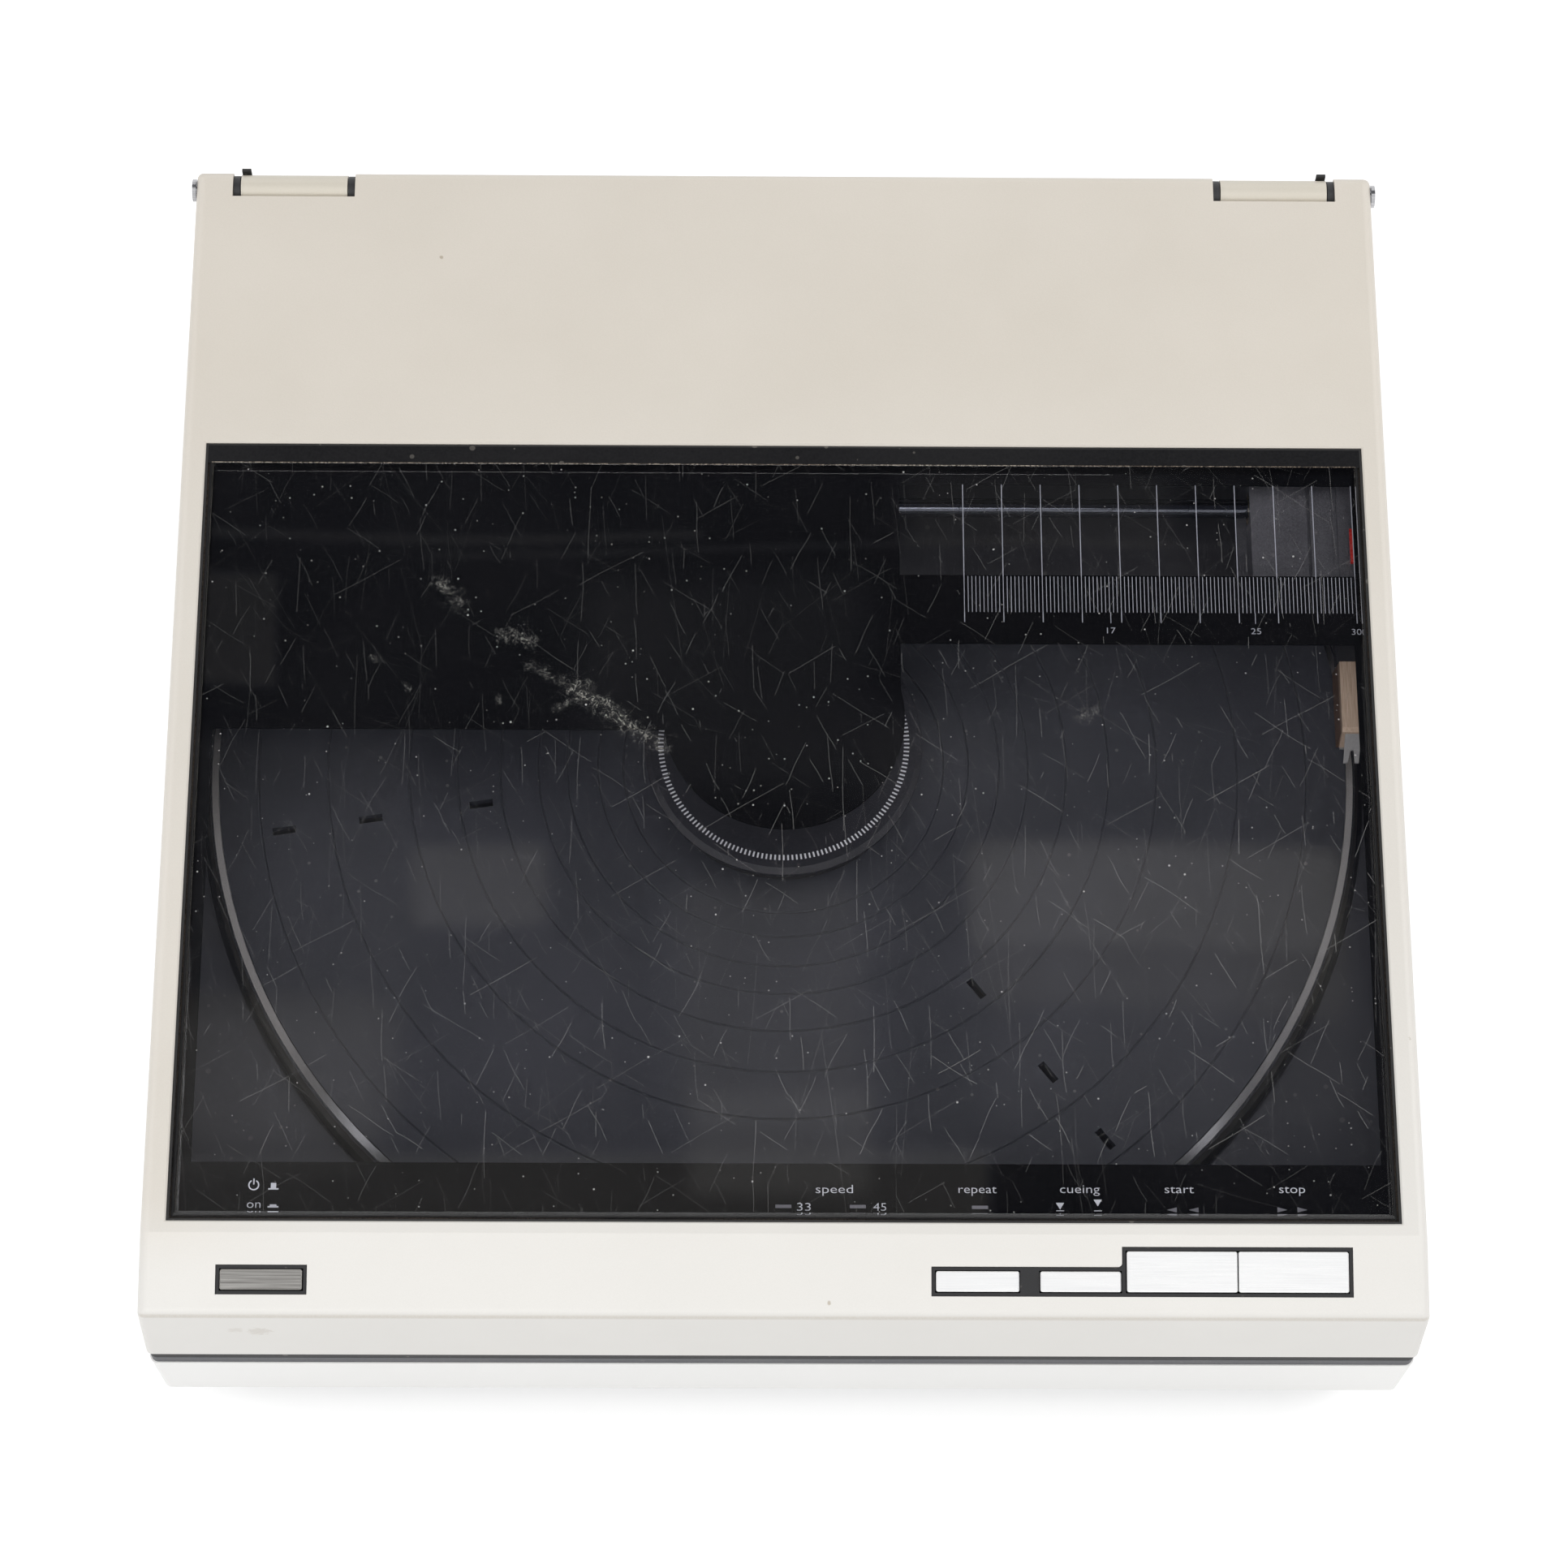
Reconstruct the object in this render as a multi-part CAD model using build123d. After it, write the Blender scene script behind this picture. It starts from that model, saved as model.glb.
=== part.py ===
from build123d import *
import math
import os

os.makedirs("parts", exist_ok=True)

# All lengths in millimetres. X to the right, Y to the rear, Z up.
# The origin is on the table under the centre of the body, which is also the spindle axis.

# Overall size of the closed player
body_width = 315.0
body_depth = 315.0
body_height = 88.0

# Heights of the layers, from the table up
foot_height = 5.0
pan_height = 12.5
base_wall_height = 26.0
deck_rim_height = 4.1
seal_height = 3.3
lid_gap = 0.8
base_bottom_z = foot_height + pan_height
base_top_z = base_bottom_z + base_wall_height
rim_top_z = base_top_z + deck_rim_height
seal_top_z = rim_top_z + seal_height
lid_bottom_z = seal_top_z + lid_gap

# Small clearances shared by the whole player
overrun = 6.0
seat_clearance = 0.3
slide_clearance = 0.25
shaft_clearance = 0.05

# Base casting and bottom pan
base_wall = 3.0
base_draft = 0.7
base_corner_radius = 2.0
base_web_drop = 9.5
base_web_thickness = 3.5
base_flange_thickness = 2.5
base_flange_width = 8.0
rear_upstand_gap = 1.1
rear_upstand_margin = 5.0
pan_inset = 7.5
pan_wall = 2.5
foot_radius = 14.0
foot_inset = 32.0
foot_chamfer = 1.0

# Deck panel with the platter well
deck_wall = 3.5
deck_inset = 0.3
deck_thickness = 1.5
well_gap = 1.5
well_wall = 2.0
well_floor_thickness = 2.0

# Platter, mat and centre
platter_radius = 150.0
platter_skirt_wall = 7.0
platter_plate_thickness = 4.5
platter_side_drop = 4.1
platter_side_draw = 1.8
platter_bevel_width = 1.8
platter_bevel_drop = 1.0
platter_top_z = 52.5
mat_thickness = 2.5
mat_top_z = 53.0
mat_hole_radius = 21.0
mat_edge_gap = 0.2
mat_groove_radii = (41.5, 48.0, 56.0, 63.5, 73.5, 84.5, 97.0, 118.0, 136.0)
mat_groove_half_width = 0.35
mat_groove_depth = 0.4
platter_skirt_height = 9.9
platter_rib_count = 12
platter_rib_thickness = 2.4
platter_rib_height = 3.5
spindle_radius = 3.575
spindle_shaft_radius = 3.5
spindle_top_z = 61.0
spindle_nose = 2.6
hub_radius = 12.0
hub_height = 3.0
adaptor_radius = 19.0
adaptor_height = 5.0
adaptor_recess_depth = 3.2
adaptor_rim_chamfer = 0.8
slot_radii = (79.0, 107.7, 130.2)
slot_length = 6.0
slot_width = 2.0
slot_first_angle = -171.5
slot_set_count = 3

# Direct drive motor under the platter
stator_board_radius = 60.0
stator_board_thickness = 1.4
stator_hole_radius = 15.0
coil_count = 9
coil_inner_radius = 25.0
coil_outer_radius = 46.5
coil_gap = 1.6
coil_wind = 5.0
coil_height = 3.4
rotor_inner_radius = 24.0
rotor_outer_radius = 48.0
rotor_height = 3.8
bearing_radius = 9.5
bearing_flange_radius = 14.0
bearing_flange_thickness = 2.0
bearing_height = 20.0
bearing_floor = 2.0

# Lid shell
lid_wall = 3.0
lid_roof = 3.0
lid_draft = 1.6
lid_edge_radius = 2.5
lid_corner_radius = 1.6
panel_run = 19.8
panel_drop = 4.35
panel_front_draw = 0.7
lid_rear_skirt = 22.2

# Window, its gasket and the black mask printed below it
window_opening_width = 299.6
window_opening_depth = 209.5
window_front_margin = 3.0
window_gap = 0.7
window_thickness = 4.0
window_chamfer = 1.6
window_step_width = 5.1
window_step_drop = 0.5
window_lip_chamfer = 0.4
gasket_gap = 0.05
gasket_drop = 0.8
gasket_height = 2.6
mask_gap = 0.05
mask_thickness = 0.4
ledge_width = 2.3
ledge_thickness = 2.5
scale_slot = (29.65, 146.8, 39.8, 65.6)
view_area = (-144.7, 145.8, -118.4, 20.6)
mask_step_y = -3.7
mask_circle_radius = 30.6

# Inner chassis plate that carries the arm drive in the lid
chassis_z = 55.8
chassis_thickness = 2.0
chassis_rear_margin = 11.5
chassis_left_front_y = 10.0
chassis_right_front_y = 36.0
chassis_step_x = 29.0
chassis_clamp_hole = 37.7

# Record clamp in the lid
clamp_radius = 35.7
clamp_edge = 1.4
clamp_top_z = 66.7
clamp_plate_thickness = 2.4
clamp_skirt_outer = 33.0
clamp_skirt_inner = 24.0
clamp_pad_height = 2.2
record_gap = 1.8
clamp_stem_radius = 4.0
clamp_flange_radius = 8.0
clamp_flange_thickness = 1.2
clamp_collar_radius = 6.5
clamp_collar_thickness = 1.2
clamp_collar_z = 67.2
clamp_ring_thickness = 1.0
clamp_spring_wire = 1.8
bridge_z = 76.0
bridge_thickness = 3.0
bridge_half_width = 16.0
bridge_rear_y = 58.0
bridge_post_depth = 12.0
bridge_rib = 2.5

# Arm carriage, rods and belt drive
arm_x = 146.0
rod_y = 63.7
rod_z = 74.0
rod_radius = 2.5
rail_y = 79.5
rail_radius = 1.5
rod_left_x = 17.0
rod_bracket_thickness = 3.0
rod_bracket_top_z = 78.7
rod_bracket_front_y = 58.0
rod_bracket_rear_y = 83.5
rod_bracket_foot_y = 75.0
rod_bracket_sill_z = 69.0
right_bracket_margin = 6.7
right_bracket_thickness = 2.4
carriage_left_x = 121.0
carriage_right_x = 150.3
carriage_front_y = 41.0
carriage_rear_y = 83.0
carriage_bottom_z = 58.1
carriage_top_z = 79.2
carriage_roof = 1.5
carriage_cheek = 4.0
carriage_block_front_y = 58.5
carriage_block_z = 69.4
carriage_roof_overlap = 1.6
carriage_cover_split_x = 135.6
carriage_cover_gap = 0.8
carriage_cover_step = 0.5
carriage_cover_thickness = 0.6
carriage_groove_x = 142.6
carriage_groove_width = 1.6
carriage_foot_x = 118.6
carriage_foot_thickness = 3.4
carriage_tongue_depth = 10.0
carriage_tongue_thickness = 1.4
bush_radius = 4.2
bush_length = 6.0
belt_y = 86.5
belt_thickness = 0.8
belt_height = 2.4
belt_z = 76.0
pulley_radius = 8.0
pulley_flange = 0.8
pulley_flange_radius = 9.0
pulley_bore_radius = 1.5
pulley_height = 4.2
drive_pulley_x = -8.0
idler_pulley_x = 143.0
belt_clamp_width = 10.0
belt_clamp_x = 130.0
arm_motor_radius = 11.0
arm_motor_height = 13.5
motor_boss_radius = 3.0
idler_post_radius = 4.5
pointer_x = 147.0
pointer_front_y = 45.1
pointer_length = 9.8
pointer_width = 1.4
pointer_height = 0.6

# Tone arm and cartridge
pivot_y = 52.0
pivot_z = 63.2
gimbal_half_width = 4.9
gimbal_half_depth = 3.0
gimbal_half_height = 3.4
gimbal_wall = 1.2
gimbal_pin_radius = 0.9
arm_tube_half_width = 2.4
arm_tube_height = 3.4
arm_tube_wall = 0.7
arm_tube_rear_y = 61.0
weight_length = 9.0
weight_half_width = 4.0
weight_bottom_z = 58.6
weight_height = 9.0
arm_socket_depth = 5.0
arm_socket_half_width = 2.6
arm_socket_top_z = 67.2
cartridge_rear_y = 23.0
cartridge_top_front_y = 3.7
cartridge_front_y = 2.2
cartridge_top_half_width = 2.1
cartridge_half_width = 3.0
cartridge_top_z = 68.0
cartridge_bottom_z = 60.0
cartridge_nose_chamfer = 0.9
stylus_holder_length = 11.0
stylus_holder_half_width = 1.9
stylus_holder_height = 1.4
stylus_reach = 2.2
stylus_tip_z = 57.3
stylus_radius = 0.35
guard_offset = 0.8
guard_half_width = 2.0
guard_thickness = 0.7
guard_prong_width = 1.1
guard_root_z = 66.4
guard_tip_y = -2.0
guard_tip_z = 60.0
guard_fork_share = 0.45
lifter_y = 45.2
lifter_depth = 2.4
lifter_thickness = 1.3
lifter_stem_radius = 1.6
solenoid_x = 131.0
solenoid_radius = 3.8
solenoid_bottom_z = 64.0

# Sloped control panel, with places along X and distances down the slope from the crease
key_lift = 0.5
key_depth = 6.0
key_corner_radius = 0.5
key_gap = 0.3
bezel_drop = 0.3
bezel_depth = 5.0
bezel_fit = 0.12
bezel_border = 1.15
bezel_notch_radius = 1.0
bezel_left_x = 35.45
bezel_step_x = 81.6
bezel_right_x = 137.6
bezel_front_v = 15.0
bezel_small_rear_v = 7.8
bezel_large_rear_v = 2.9
separator_left_x = 57.0
separator_right_x = 61.5
large_key_split_x = 109.65
power_left_margin = 20.1
power_right_margin = 42.2
key_board_depth = 10.5
key_board_thickness = 1.4
key_switch_size = 4.5
key_switch_height = 3.2
indicator_board_gap = 1.0
indicator_board_depth = 15.5
indicator_board_drop = 11.0
indicator_board_thickness = 1.4
indicator_xs = (-0.3, 17.8, 47.5)
indicator_width = 4.0
indicator_depth = 2.0
indicator_height = 3.0
indicator_board_left_x = -8.0
indicator_board_right_x = 56.0

# Hinges
hinge_rear_inset = 5.2
hinge_drop = 4.5
hinge_side_inset = 13.3
hinge_length = 28.2
hinge_slot_gap = 2.1
hinge_slot_front = 4.1
hinge_cover_radius = 4.1
hinge_cover_wall = 0.7
hinge_cap_wall = 1.2
hinge_pin_radius = 1.8
hinge_head_radius = 3.0
hinge_head_height = 1.0
hinge_lug_radius = 3.1
hinge_lug_length = 4.0
hinge_plate_thickness = 2.6
hinge_ear_thickness = 1.7
hinge_ear_radius = 3.9
hinge_ear_reach = 14.0
hinge_ear_flange = 9.0
hinge_ear_drop = 4.2
hinge_spring_radius = 2.95
buffer_width = 2.4
buffer_thickness = 0.8
buffer_drop = 1.4

# Sockets in the rear of the base
tray_left_x = -32.0
tray_right_x = 102.0
tray_bottom_z = 20.3
tray_top_z = 33.2
tray_depth = 11.0
tray_wall = 1.4
tray_flange = 3.0
phono_xs = (70.0, 88.0)
phono_sleeve_radius = 4.15
phono_sleeve_length = 9.0
phono_sleeve_wall = 0.55
phono_bore_radius = 1.6
phono_insert_radius = 3.0
phono_nut_radius = 4.9
phono_nut_height = 1.5
ground_x = 50.0
ground_radius = 3.4
ground_length = 7.5
ground_stem_radius = 1.8
ground_stem_length = 2.4
mains_x = -14.0
mains_half_width = 10.0
mains_half_height = 4.6
mains_depth = 8.5
mains_wall = 1.1
mains_pin_spacing = 8.6
mains_pin_radius = 1.15
mains_pin_length = 6.0
dc_x = 20.0
dc_radius = 5.0
dc_bore_radius = 3.4
dc_length = 7.0
dc_pin_radius = 0.9
dc_floor = 1.5

# Electrics in the base
transformer_x = -106.0
transformer_y = 104.0
transformer_core = (40.0, 34.0, 20.0)
transformer_coil = (26.0, 46.0, 14.0)
board_x = 20.0
board_y = -92.0
board_width = 190.0
board_depth = 80.0
board_thickness = 1.6
board_standoff = 4.0
board_post_radius = 3.0
board_chip_count = 4
board_can_count = 2
sensor_board_width = 66.0
sensor_board_depth = 16.0
sensor_height = 3.0
sensor_width = 5.0

# Controls on the deck corners
switch_side_margin = 29.5
switch_rear_margin = 29.5
switch_travel = 4.0
switch_knob_width = 5.0
switch_knob_depth = 7.0
switch_knob_height = 3.2
switch_stem_width = 2.4
switch_stem_depth = 3.0
switch_slot_gap = 0.3
switch_body_width = 20.0
switch_body_depth = 9.0
switch_body_height = 5.5
plunger_side_margin = 29.5
plunger_rear_margin = 29.5
plunger_radius = 2.6
plunger_head_radius = 3.6
plunger_travel = 3.0
plunger_housing_radius = 6.0
plunger_housing_height = 4.5

# Case screws
screw_inset = 14.0
screw_shank_radius = 1.6

# Places worked out from the sizes above
half_width = body_width / 2
half_depth = body_depth / 2
lid_height = body_height - lid_bottom_z
crease_y = panel_run + panel_front_draw - half_depth
panel_angle = math.atan2(panel_drop, panel_run)
panel_plane = Plane(
    origin=(0, crease_y, body_height),
    x_dir=(1, 0, 0),
    z_dir=(0, -math.sin(panel_angle), math.cos(panel_angle)),
)
opening_half_width = window_opening_width / 2
opening_front_y = crease_y + window_front_margin
opening_rear_y = opening_front_y + window_opening_depth
window_bottom_z = body_height - window_thickness
mask_z = window_bottom_z - mask_gap - mask_thickness
plate_top_z = mat_top_z - mat_thickness
plate_bottom_z = plate_top_z - platter_plate_thickness
rim_side_z = platter_top_z - platter_side_drop
skirt_bottom_z = rim_side_z - platter_skirt_height
rim_inner_radius = platter_radius - platter_side_draw - platter_bevel_width
web_top_z = base_top_z - base_web_drop
well_floor_top_z = web_top_z + well_floor_thickness
well_radius = platter_radius + well_gap
deck_top_z = base_top_z + deck_thickness
upstand_half_width = half_width - rear_upstand_margin
upstand_top_z = body_height - lid_rear_skirt - rear_upstand_gap
chassis_top_z = chassis_z + chassis_thickness
pulley_y = belt_y + pulley_radius + shaft_clearance + belt_thickness / 2
pulley_z = belt_z - pulley_flange - (pulley_height - 2 * pulley_flange - belt_height) / 2
tray_front_y = half_depth - base_wall - tray_depth
tray_floor_y = tray_front_y + tray_wall
socket_z = (tray_bottom_z + tray_top_z) / 2
pan_half_width = half_width - pan_inset
pan_half_depth = half_depth - pan_inset
hinge_y = half_depth - hinge_rear_inset
hinge_z = body_height - hinge_drop
hinge_outer_x = half_width - hinge_side_inset
hinge_inner_x = hinge_outer_x - hinge_length
buffer_top_z = body_height - buffer_drop
chassis_rear_y = half_depth - chassis_rear_margin
indicator_board_front_y = crease_y + indicator_board_gap
indicator_board_rear_y = indicator_board_front_y + indicator_board_depth
indicator_board_z = body_height - indicator_board_drop
power_left_x = power_left_margin - half_width
power_right_x = power_right_margin - half_width
right_bracket_x = half_width - right_bracket_margin
carriage_roof_right_x = right_bracket_x + carriage_roof_overlap
switch_x = half_width - switch_side_margin
switch_y = half_depth - switch_rear_margin
plunger_x = plunger_side_margin - half_width
plunger_y = half_depth - plunger_rear_margin


# Shape helpers
def slab(x0, x1, y0, y1, z0, z1):
    place = Pos((x0 + x1) / 2, (y0 + y1) / 2, (z0 + z1) / 2)
    return place * Box(x1 - x0, y1 - y0, z1 - z0)


def disc(radius, z0, z1, x=0, y=0):
    return Pos(x, y, (z0 + z1) / 2) * Cylinder(radius, z1 - z0)


def ring(outer, inner, z0, z1, x=0, y=0):
    return disc(outer, z0, z1, x, y) - disc(inner, z0 - overrun, z1 + overrun, x, y)


def bar_x(radius, x0, x1, y, z):
    return Pos((x0 + x1) / 2, y, z) * Rot(0, 90, 0) * Cylinder(radius, x1 - x0)


def bar_y(radius, y0, y1, x, z):
    return Pos(x, (y0 + y1) / 2, z) * Rot(-90, 0, 0) * Cylinder(radius, y1 - y0)


def panel_slab(x0, x1, v0, v1, n0, n1):
    place = Pos((x0 + x1) / 2, -(v0 + v1) / 2, (n0 + n1) / 2)
    return panel_plane.location * place * Box(x1 - x0, v1 - v0, n1 - n0)


def turned(points):
    outline = Polyline(*points, close=True)
    return revolve(Plane.XZ * make_face(outline), axis=Axis.Z)


def upright_edges(shape, low_z, high_z):
    middle = (low_z + high_z) / 2
    return [
        edge
        for edge in shape.edges()
        if abs(edge.center().Z - middle) < (high_z - low_z) / 4
    ]


def both_sides(make):
    return Compound(children=[make(-1), make(1)])


def span_x(side, near, far):
    return (near, far) if side > 0 else (-far, -near)


# Base casting, open below, with the rear upstand that carries the hinges
def base_casting():
    draft = 2 * base_draft
    low = Pos(0, 0, base_bottom_z) * Rectangle(body_width - draft, body_depth - draft)
    high = Pos(0, 0, base_top_z) * Rectangle(body_width, body_depth)
    body = loft([low.face(), high.face()], ruled=True)
    body = fillet(upright_edges(body, base_bottom_z, base_top_z), base_corner_radius)
    inner_x = half_width - base_wall
    inner_y = half_depth - base_wall
    body -= slab(-inner_x, inner_x, -inner_y, inner_y, base_bottom_z - overrun, base_top_z + overrun)
    body += slab(-inner_x, inner_x, -inner_y, inner_y, web_top_z - base_web_thickness, web_top_z)
    flange_x = inner_x - base_flange_width
    flange_y = inner_y - base_flange_width
    flange_top = base_bottom_z + base_flange_thickness
    flange = slab(-inner_x, inner_x, -inner_y, inner_y, base_bottom_z, flange_top)
    body += flange - slab(-flange_x, flange_x, -flange_y, flange_y, 0, flange_top + overrun)
    body += slab(
        -upstand_half_width, upstand_half_width, inner_y, half_depth, base_top_z - base_wall, upstand_top_z
    )
    body -= disc(bearing_radius + seat_clearance, 0, base_top_z)
    room = tray_flange + seat_clearance
    tray_room = slab(
        tray_left_x - room,
        tray_right_x + room,
        tray_front_y - seat_clearance,
        inner_y,
        flange_top,
        web_top_z,
    )
    body -= tray_room
    return body - tray_mouth()


# Window through the rear wall for the sockets
def tray_mouth():
    return slab(
        tray_left_x + tray_wall,
        tray_right_x - tray_wall,
        tray_floor_y,
        half_depth + overrun,
        tray_bottom_z + tray_wall,
        tray_top_z - tray_wall,
    )


# Bottom pan with screw bosses, on rubber feet
def bottom_cover():
    pan = slab(-pan_half_width, pan_half_width, -pan_half_depth, pan_half_depth, foot_height, base_bottom_z)
    pan = fillet(upright_edges(pan, foot_height, base_bottom_z), base_corner_radius * 2)
    inner_x = pan_half_width - pan_wall
    inner_y = pan_half_depth - pan_wall
    floor_z = foot_height + pan_wall
    pan -= slab(-inner_x, inner_x, -inner_y, inner_y, floor_z, base_bottom_z + overrun)
    for x, y in screw_places():
        pan += disc(screw_shank_radius * 2, foot_height, base_bottom_z, x, y)
        pan -= disc(screw_shank_radius + shaft_clearance, 0, floor_z, x, y)
    return pan


def screw_places():
    reach_x = half_width - screw_inset
    reach_y = half_depth - screw_inset
    return [(reach_x, reach_y), (-reach_x, reach_y), (-reach_x, -reach_y), (reach_x, -reach_y)]


def feet():
    reach_x = half_width - foot_inset
    reach_y = half_depth - foot_inset
    pads = []
    for x in (-reach_x, reach_x):
        for y in (-reach_y, reach_y):
            pad = disc(foot_radius, 0, foot_height, x, y)
            pads.append(chamfer(pad.edges().sort_by(Axis.Z)[0], foot_chamfer))
    return Compound(children=pads)


# Deck panel: dark rim, corner decks and the round well in one moulding
def deck_panel():
    outer_x = half_width - deck_inset
    outer_y = half_depth - deck_inset
    inner_x = outer_x - deck_wall
    inner_y = outer_y - deck_wall
    panel = slab(-outer_x, outer_x, -outer_y, outer_y, base_top_z, rim_top_z)
    panel = fillet(upright_edges(panel, base_top_z, rim_top_z), base_corner_radius)
    panel -= slab(-inner_x, inner_x, -inner_y, inner_y, deck_top_z, rim_top_z + overrun)
    panel += disc(well_radius + well_wall, web_top_z, deck_top_z)
    panel -= disc(well_radius, well_floor_top_z, rim_top_z + overrun)
    panel -= disc(bearing_radius + seat_clearance, 0, base_top_z)
    panel -= rear_notch()
    panel -= slab(
        switch_x - switch_travel - switch_stem_width / 2 - switch_slot_gap,
        switch_x + switch_travel + switch_stem_width / 2 + switch_slot_gap,
        switch_y - switch_stem_depth / 2 - switch_slot_gap,
        switch_y + switch_stem_depth / 2 + switch_slot_gap,
        base_top_z - overrun,
        deck_top_z + overrun,
    )
    bore = plunger_radius + slide_clearance
    return panel - disc(bore, base_top_z - overrun, deck_top_z + overrun, plunger_x, plunger_y)


# Room behind the deck and its seal for the rear upstand
def rear_notch():
    reach = upstand_half_width + seat_clearance
    front = half_depth - base_wall - seat_clearance
    return slab(-reach, reach, front, half_depth + overrun, base_top_z - overrun, lid_bottom_z + overrun)


def lid_seal():
    outer_x = half_width - deck_inset - shaft_clearance
    outer_y = half_depth - deck_inset - shaft_clearance
    inner_x = outer_x - deck_wall + seat_clearance
    inner_y = outer_y - deck_wall + seat_clearance
    seal = slab(-outer_x, outer_x, -outer_y, outer_y, rim_top_z, seal_top_z)
    seal = fillet(upright_edges(seal, rim_top_z, seal_top_z), base_corner_radius)
    seal -= slab(-inner_x, inner_x, -inner_y, inner_y, rim_top_z - overrun, seal_top_z + overrun)
    reach = upstand_half_width + seat_clearance
    low = rim_top_z - overrun
    high = seal_top_z + overrun
    return seal - slab(-reach, reach, inner_y - overrun, half_depth, low, high)


# Direct drive motor
def motor_stator():
    board_z = well_floor_top_z
    coil_z = board_z + stator_board_thickness
    stator = ring(stator_board_radius, stator_hole_radius, board_z, coil_z)
    for index in range(coil_count):
        stator += Rot(0, 0, 360 * index / coil_count) * stator_coil(coil_z)
    return stator


# One flat coil, wound as a wedge with an open core
def stator_coil(low):
    high = low + coil_height
    half_step = math.pi / coil_count
    side = coil_gap / 2
    outline = coil_wedge(coil_inner_radius, coil_outer_radius, side, half_step)
    near = coil_inner_radius + coil_wind
    core = coil_wedge(near, coil_outer_radius - coil_wind, side + coil_wind, half_step)
    return Pos(0, 0, low) * (extrude(outline, high - low) - extrude(core, high - low))


def coil_wedge(near, far, side_gap, half_step):
    rise = math.tan(half_step)
    near_y = near * rise - side_gap / math.cos(half_step)
    far_y = far * rise - side_gap / math.cos(half_step)
    corners = [(near, -near_y), (far, -far_y), (far, far_y), (near, near_y)]
    return make_face(Polyline(*corners, close=True))


def motor_bearing():
    top = well_floor_top_z + 2 * bearing_flange_thickness
    bottom = top - bearing_height
    flange_z = well_floor_top_z
    housing = disc(bearing_radius, bottom, top)
    housing += disc(bearing_flange_radius, flange_z, flange_z + bearing_flange_thickness)
    return housing - disc(spindle_shaft_radius + shaft_clearance, bottom + bearing_floor, top + overrun)


def rotor_magnet():
    top = plate_bottom_z
    magnet = ring(rotor_outer_radius, rotor_inner_radius, top - rotor_height, top)
    return magnet


# Platter: cast plate with a polished bevel, a deep skirt and ribs below
def platter():
    inner_radius = platter_radius - platter_skirt_wall
    bore = spindle_shaft_radius + shaft_clearance / 2
    recess_radius = adaptor_radius + slide_clearance
    recess_z = plate_top_z - adaptor_recess_depth
    bevel_radius = platter_radius - platter_side_draw
    bevel_z = platter_top_z - platter_bevel_drop
    section = [
        (bore, plate_bottom_z - hub_height),
        (hub_radius, plate_bottom_z - hub_height),
        (hub_radius, plate_bottom_z),
        (inner_radius, plate_bottom_z),
        (inner_radius, skirt_bottom_z),
        (platter_radius, skirt_bottom_z),
        (platter_radius, rim_side_z),
        (bevel_radius, bevel_z),
        (rim_inner_radius, platter_top_z),
        (rim_inner_radius, plate_top_z),
        (recess_radius, plate_top_z),
        (recess_radius, recess_z),
        (bore, recess_z),
    ]
    body = turned(section)
    rib_start = rotor_outer_radius + platter_rib_thickness
    rib = slab(
        rib_start,
        inner_radius + platter_rib_thickness / 2,
        -platter_rib_thickness / 2,
        platter_rib_thickness / 2,
        plate_bottom_z - platter_rib_height,
        plate_bottom_z,
    )
    for index in range(platter_rib_count):
        step = 360 / platter_rib_count
        body += Rot(0, 0, slot_first_angle + step * (index + 1 / 2)) * rib
    return body - sensor_slots()


# Slots through platter and mat for the record size sensors
def sensor_slots():
    cuts = []
    for index in range(slot_set_count):
        turn = Rot(0, 0, slot_first_angle + 360 * index / slot_set_count)
        for radius in slot_radii:
            cut = slab(
                radius - slot_length / 2,
                radius + slot_length / 2,
                -slot_width / 2,
                slot_width / 2,
                plate_bottom_z - overrun,
                mat_top_z + overrun,
            )
            cuts.append(turn * cut)
    return Compound(children=cuts)


# Rubber mat with fine turned grooves
def platter_mat():
    outer = rim_inner_radius - mat_edge_gap
    section = [(mat_hole_radius, plate_top_z), (mat_hole_radius, mat_top_z)]
    for radius in mat_groove_radii:
        section.append((radius - mat_groove_half_width, mat_top_z))
        section.append((radius, mat_top_z - mat_groove_depth))
        section.append((radius + mat_groove_half_width, mat_top_z))
    section.append((outer, mat_top_z))
    section.append((outer, plate_top_z))
    return turned(section) - sensor_slots()


def spindle():
    bottom = well_floor_top_z + 2 * bearing_flange_thickness - bearing_height + bearing_floor
    foot = bottom + shaft_clearance
    section = [
        (0, foot),
        (spindle_shaft_radius - spindle_nose / 2, foot),
        (spindle_shaft_radius, foot + spindle_nose / 2),
        (spindle_shaft_radius, plate_top_z - adaptor_recess_depth),
        (spindle_radius, plate_top_z - adaptor_recess_depth),
        (spindle_radius, spindle_top_z - spindle_nose),
        (spindle_radius / 2, spindle_top_z),
        (0, spindle_top_z),
    ]
    return turned(section)


# Large-hole adaptor that pops up around the spindle
def ep_adaptor():
    low = plate_top_z - adaptor_recess_depth + seat_clearance
    high = low + adaptor_height
    bore = spindle_radius + slide_clearance / 2
    section = [
        (bore, low),
        (adaptor_radius, low),
        (adaptor_radius, high - adaptor_rim_chamfer),
        (adaptor_radius - adaptor_rim_chamfer, high),
        (bore + adaptor_rim_chamfer, high),
        (bore, high - adaptor_rim_chamfer),
    ]
    body = turned(section)
    groove = ring(adaptor_radius * 2 / 3, adaptor_radius / 2, high - adaptor_rim_chamfer, high + overrun)
    return body - groove


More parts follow.
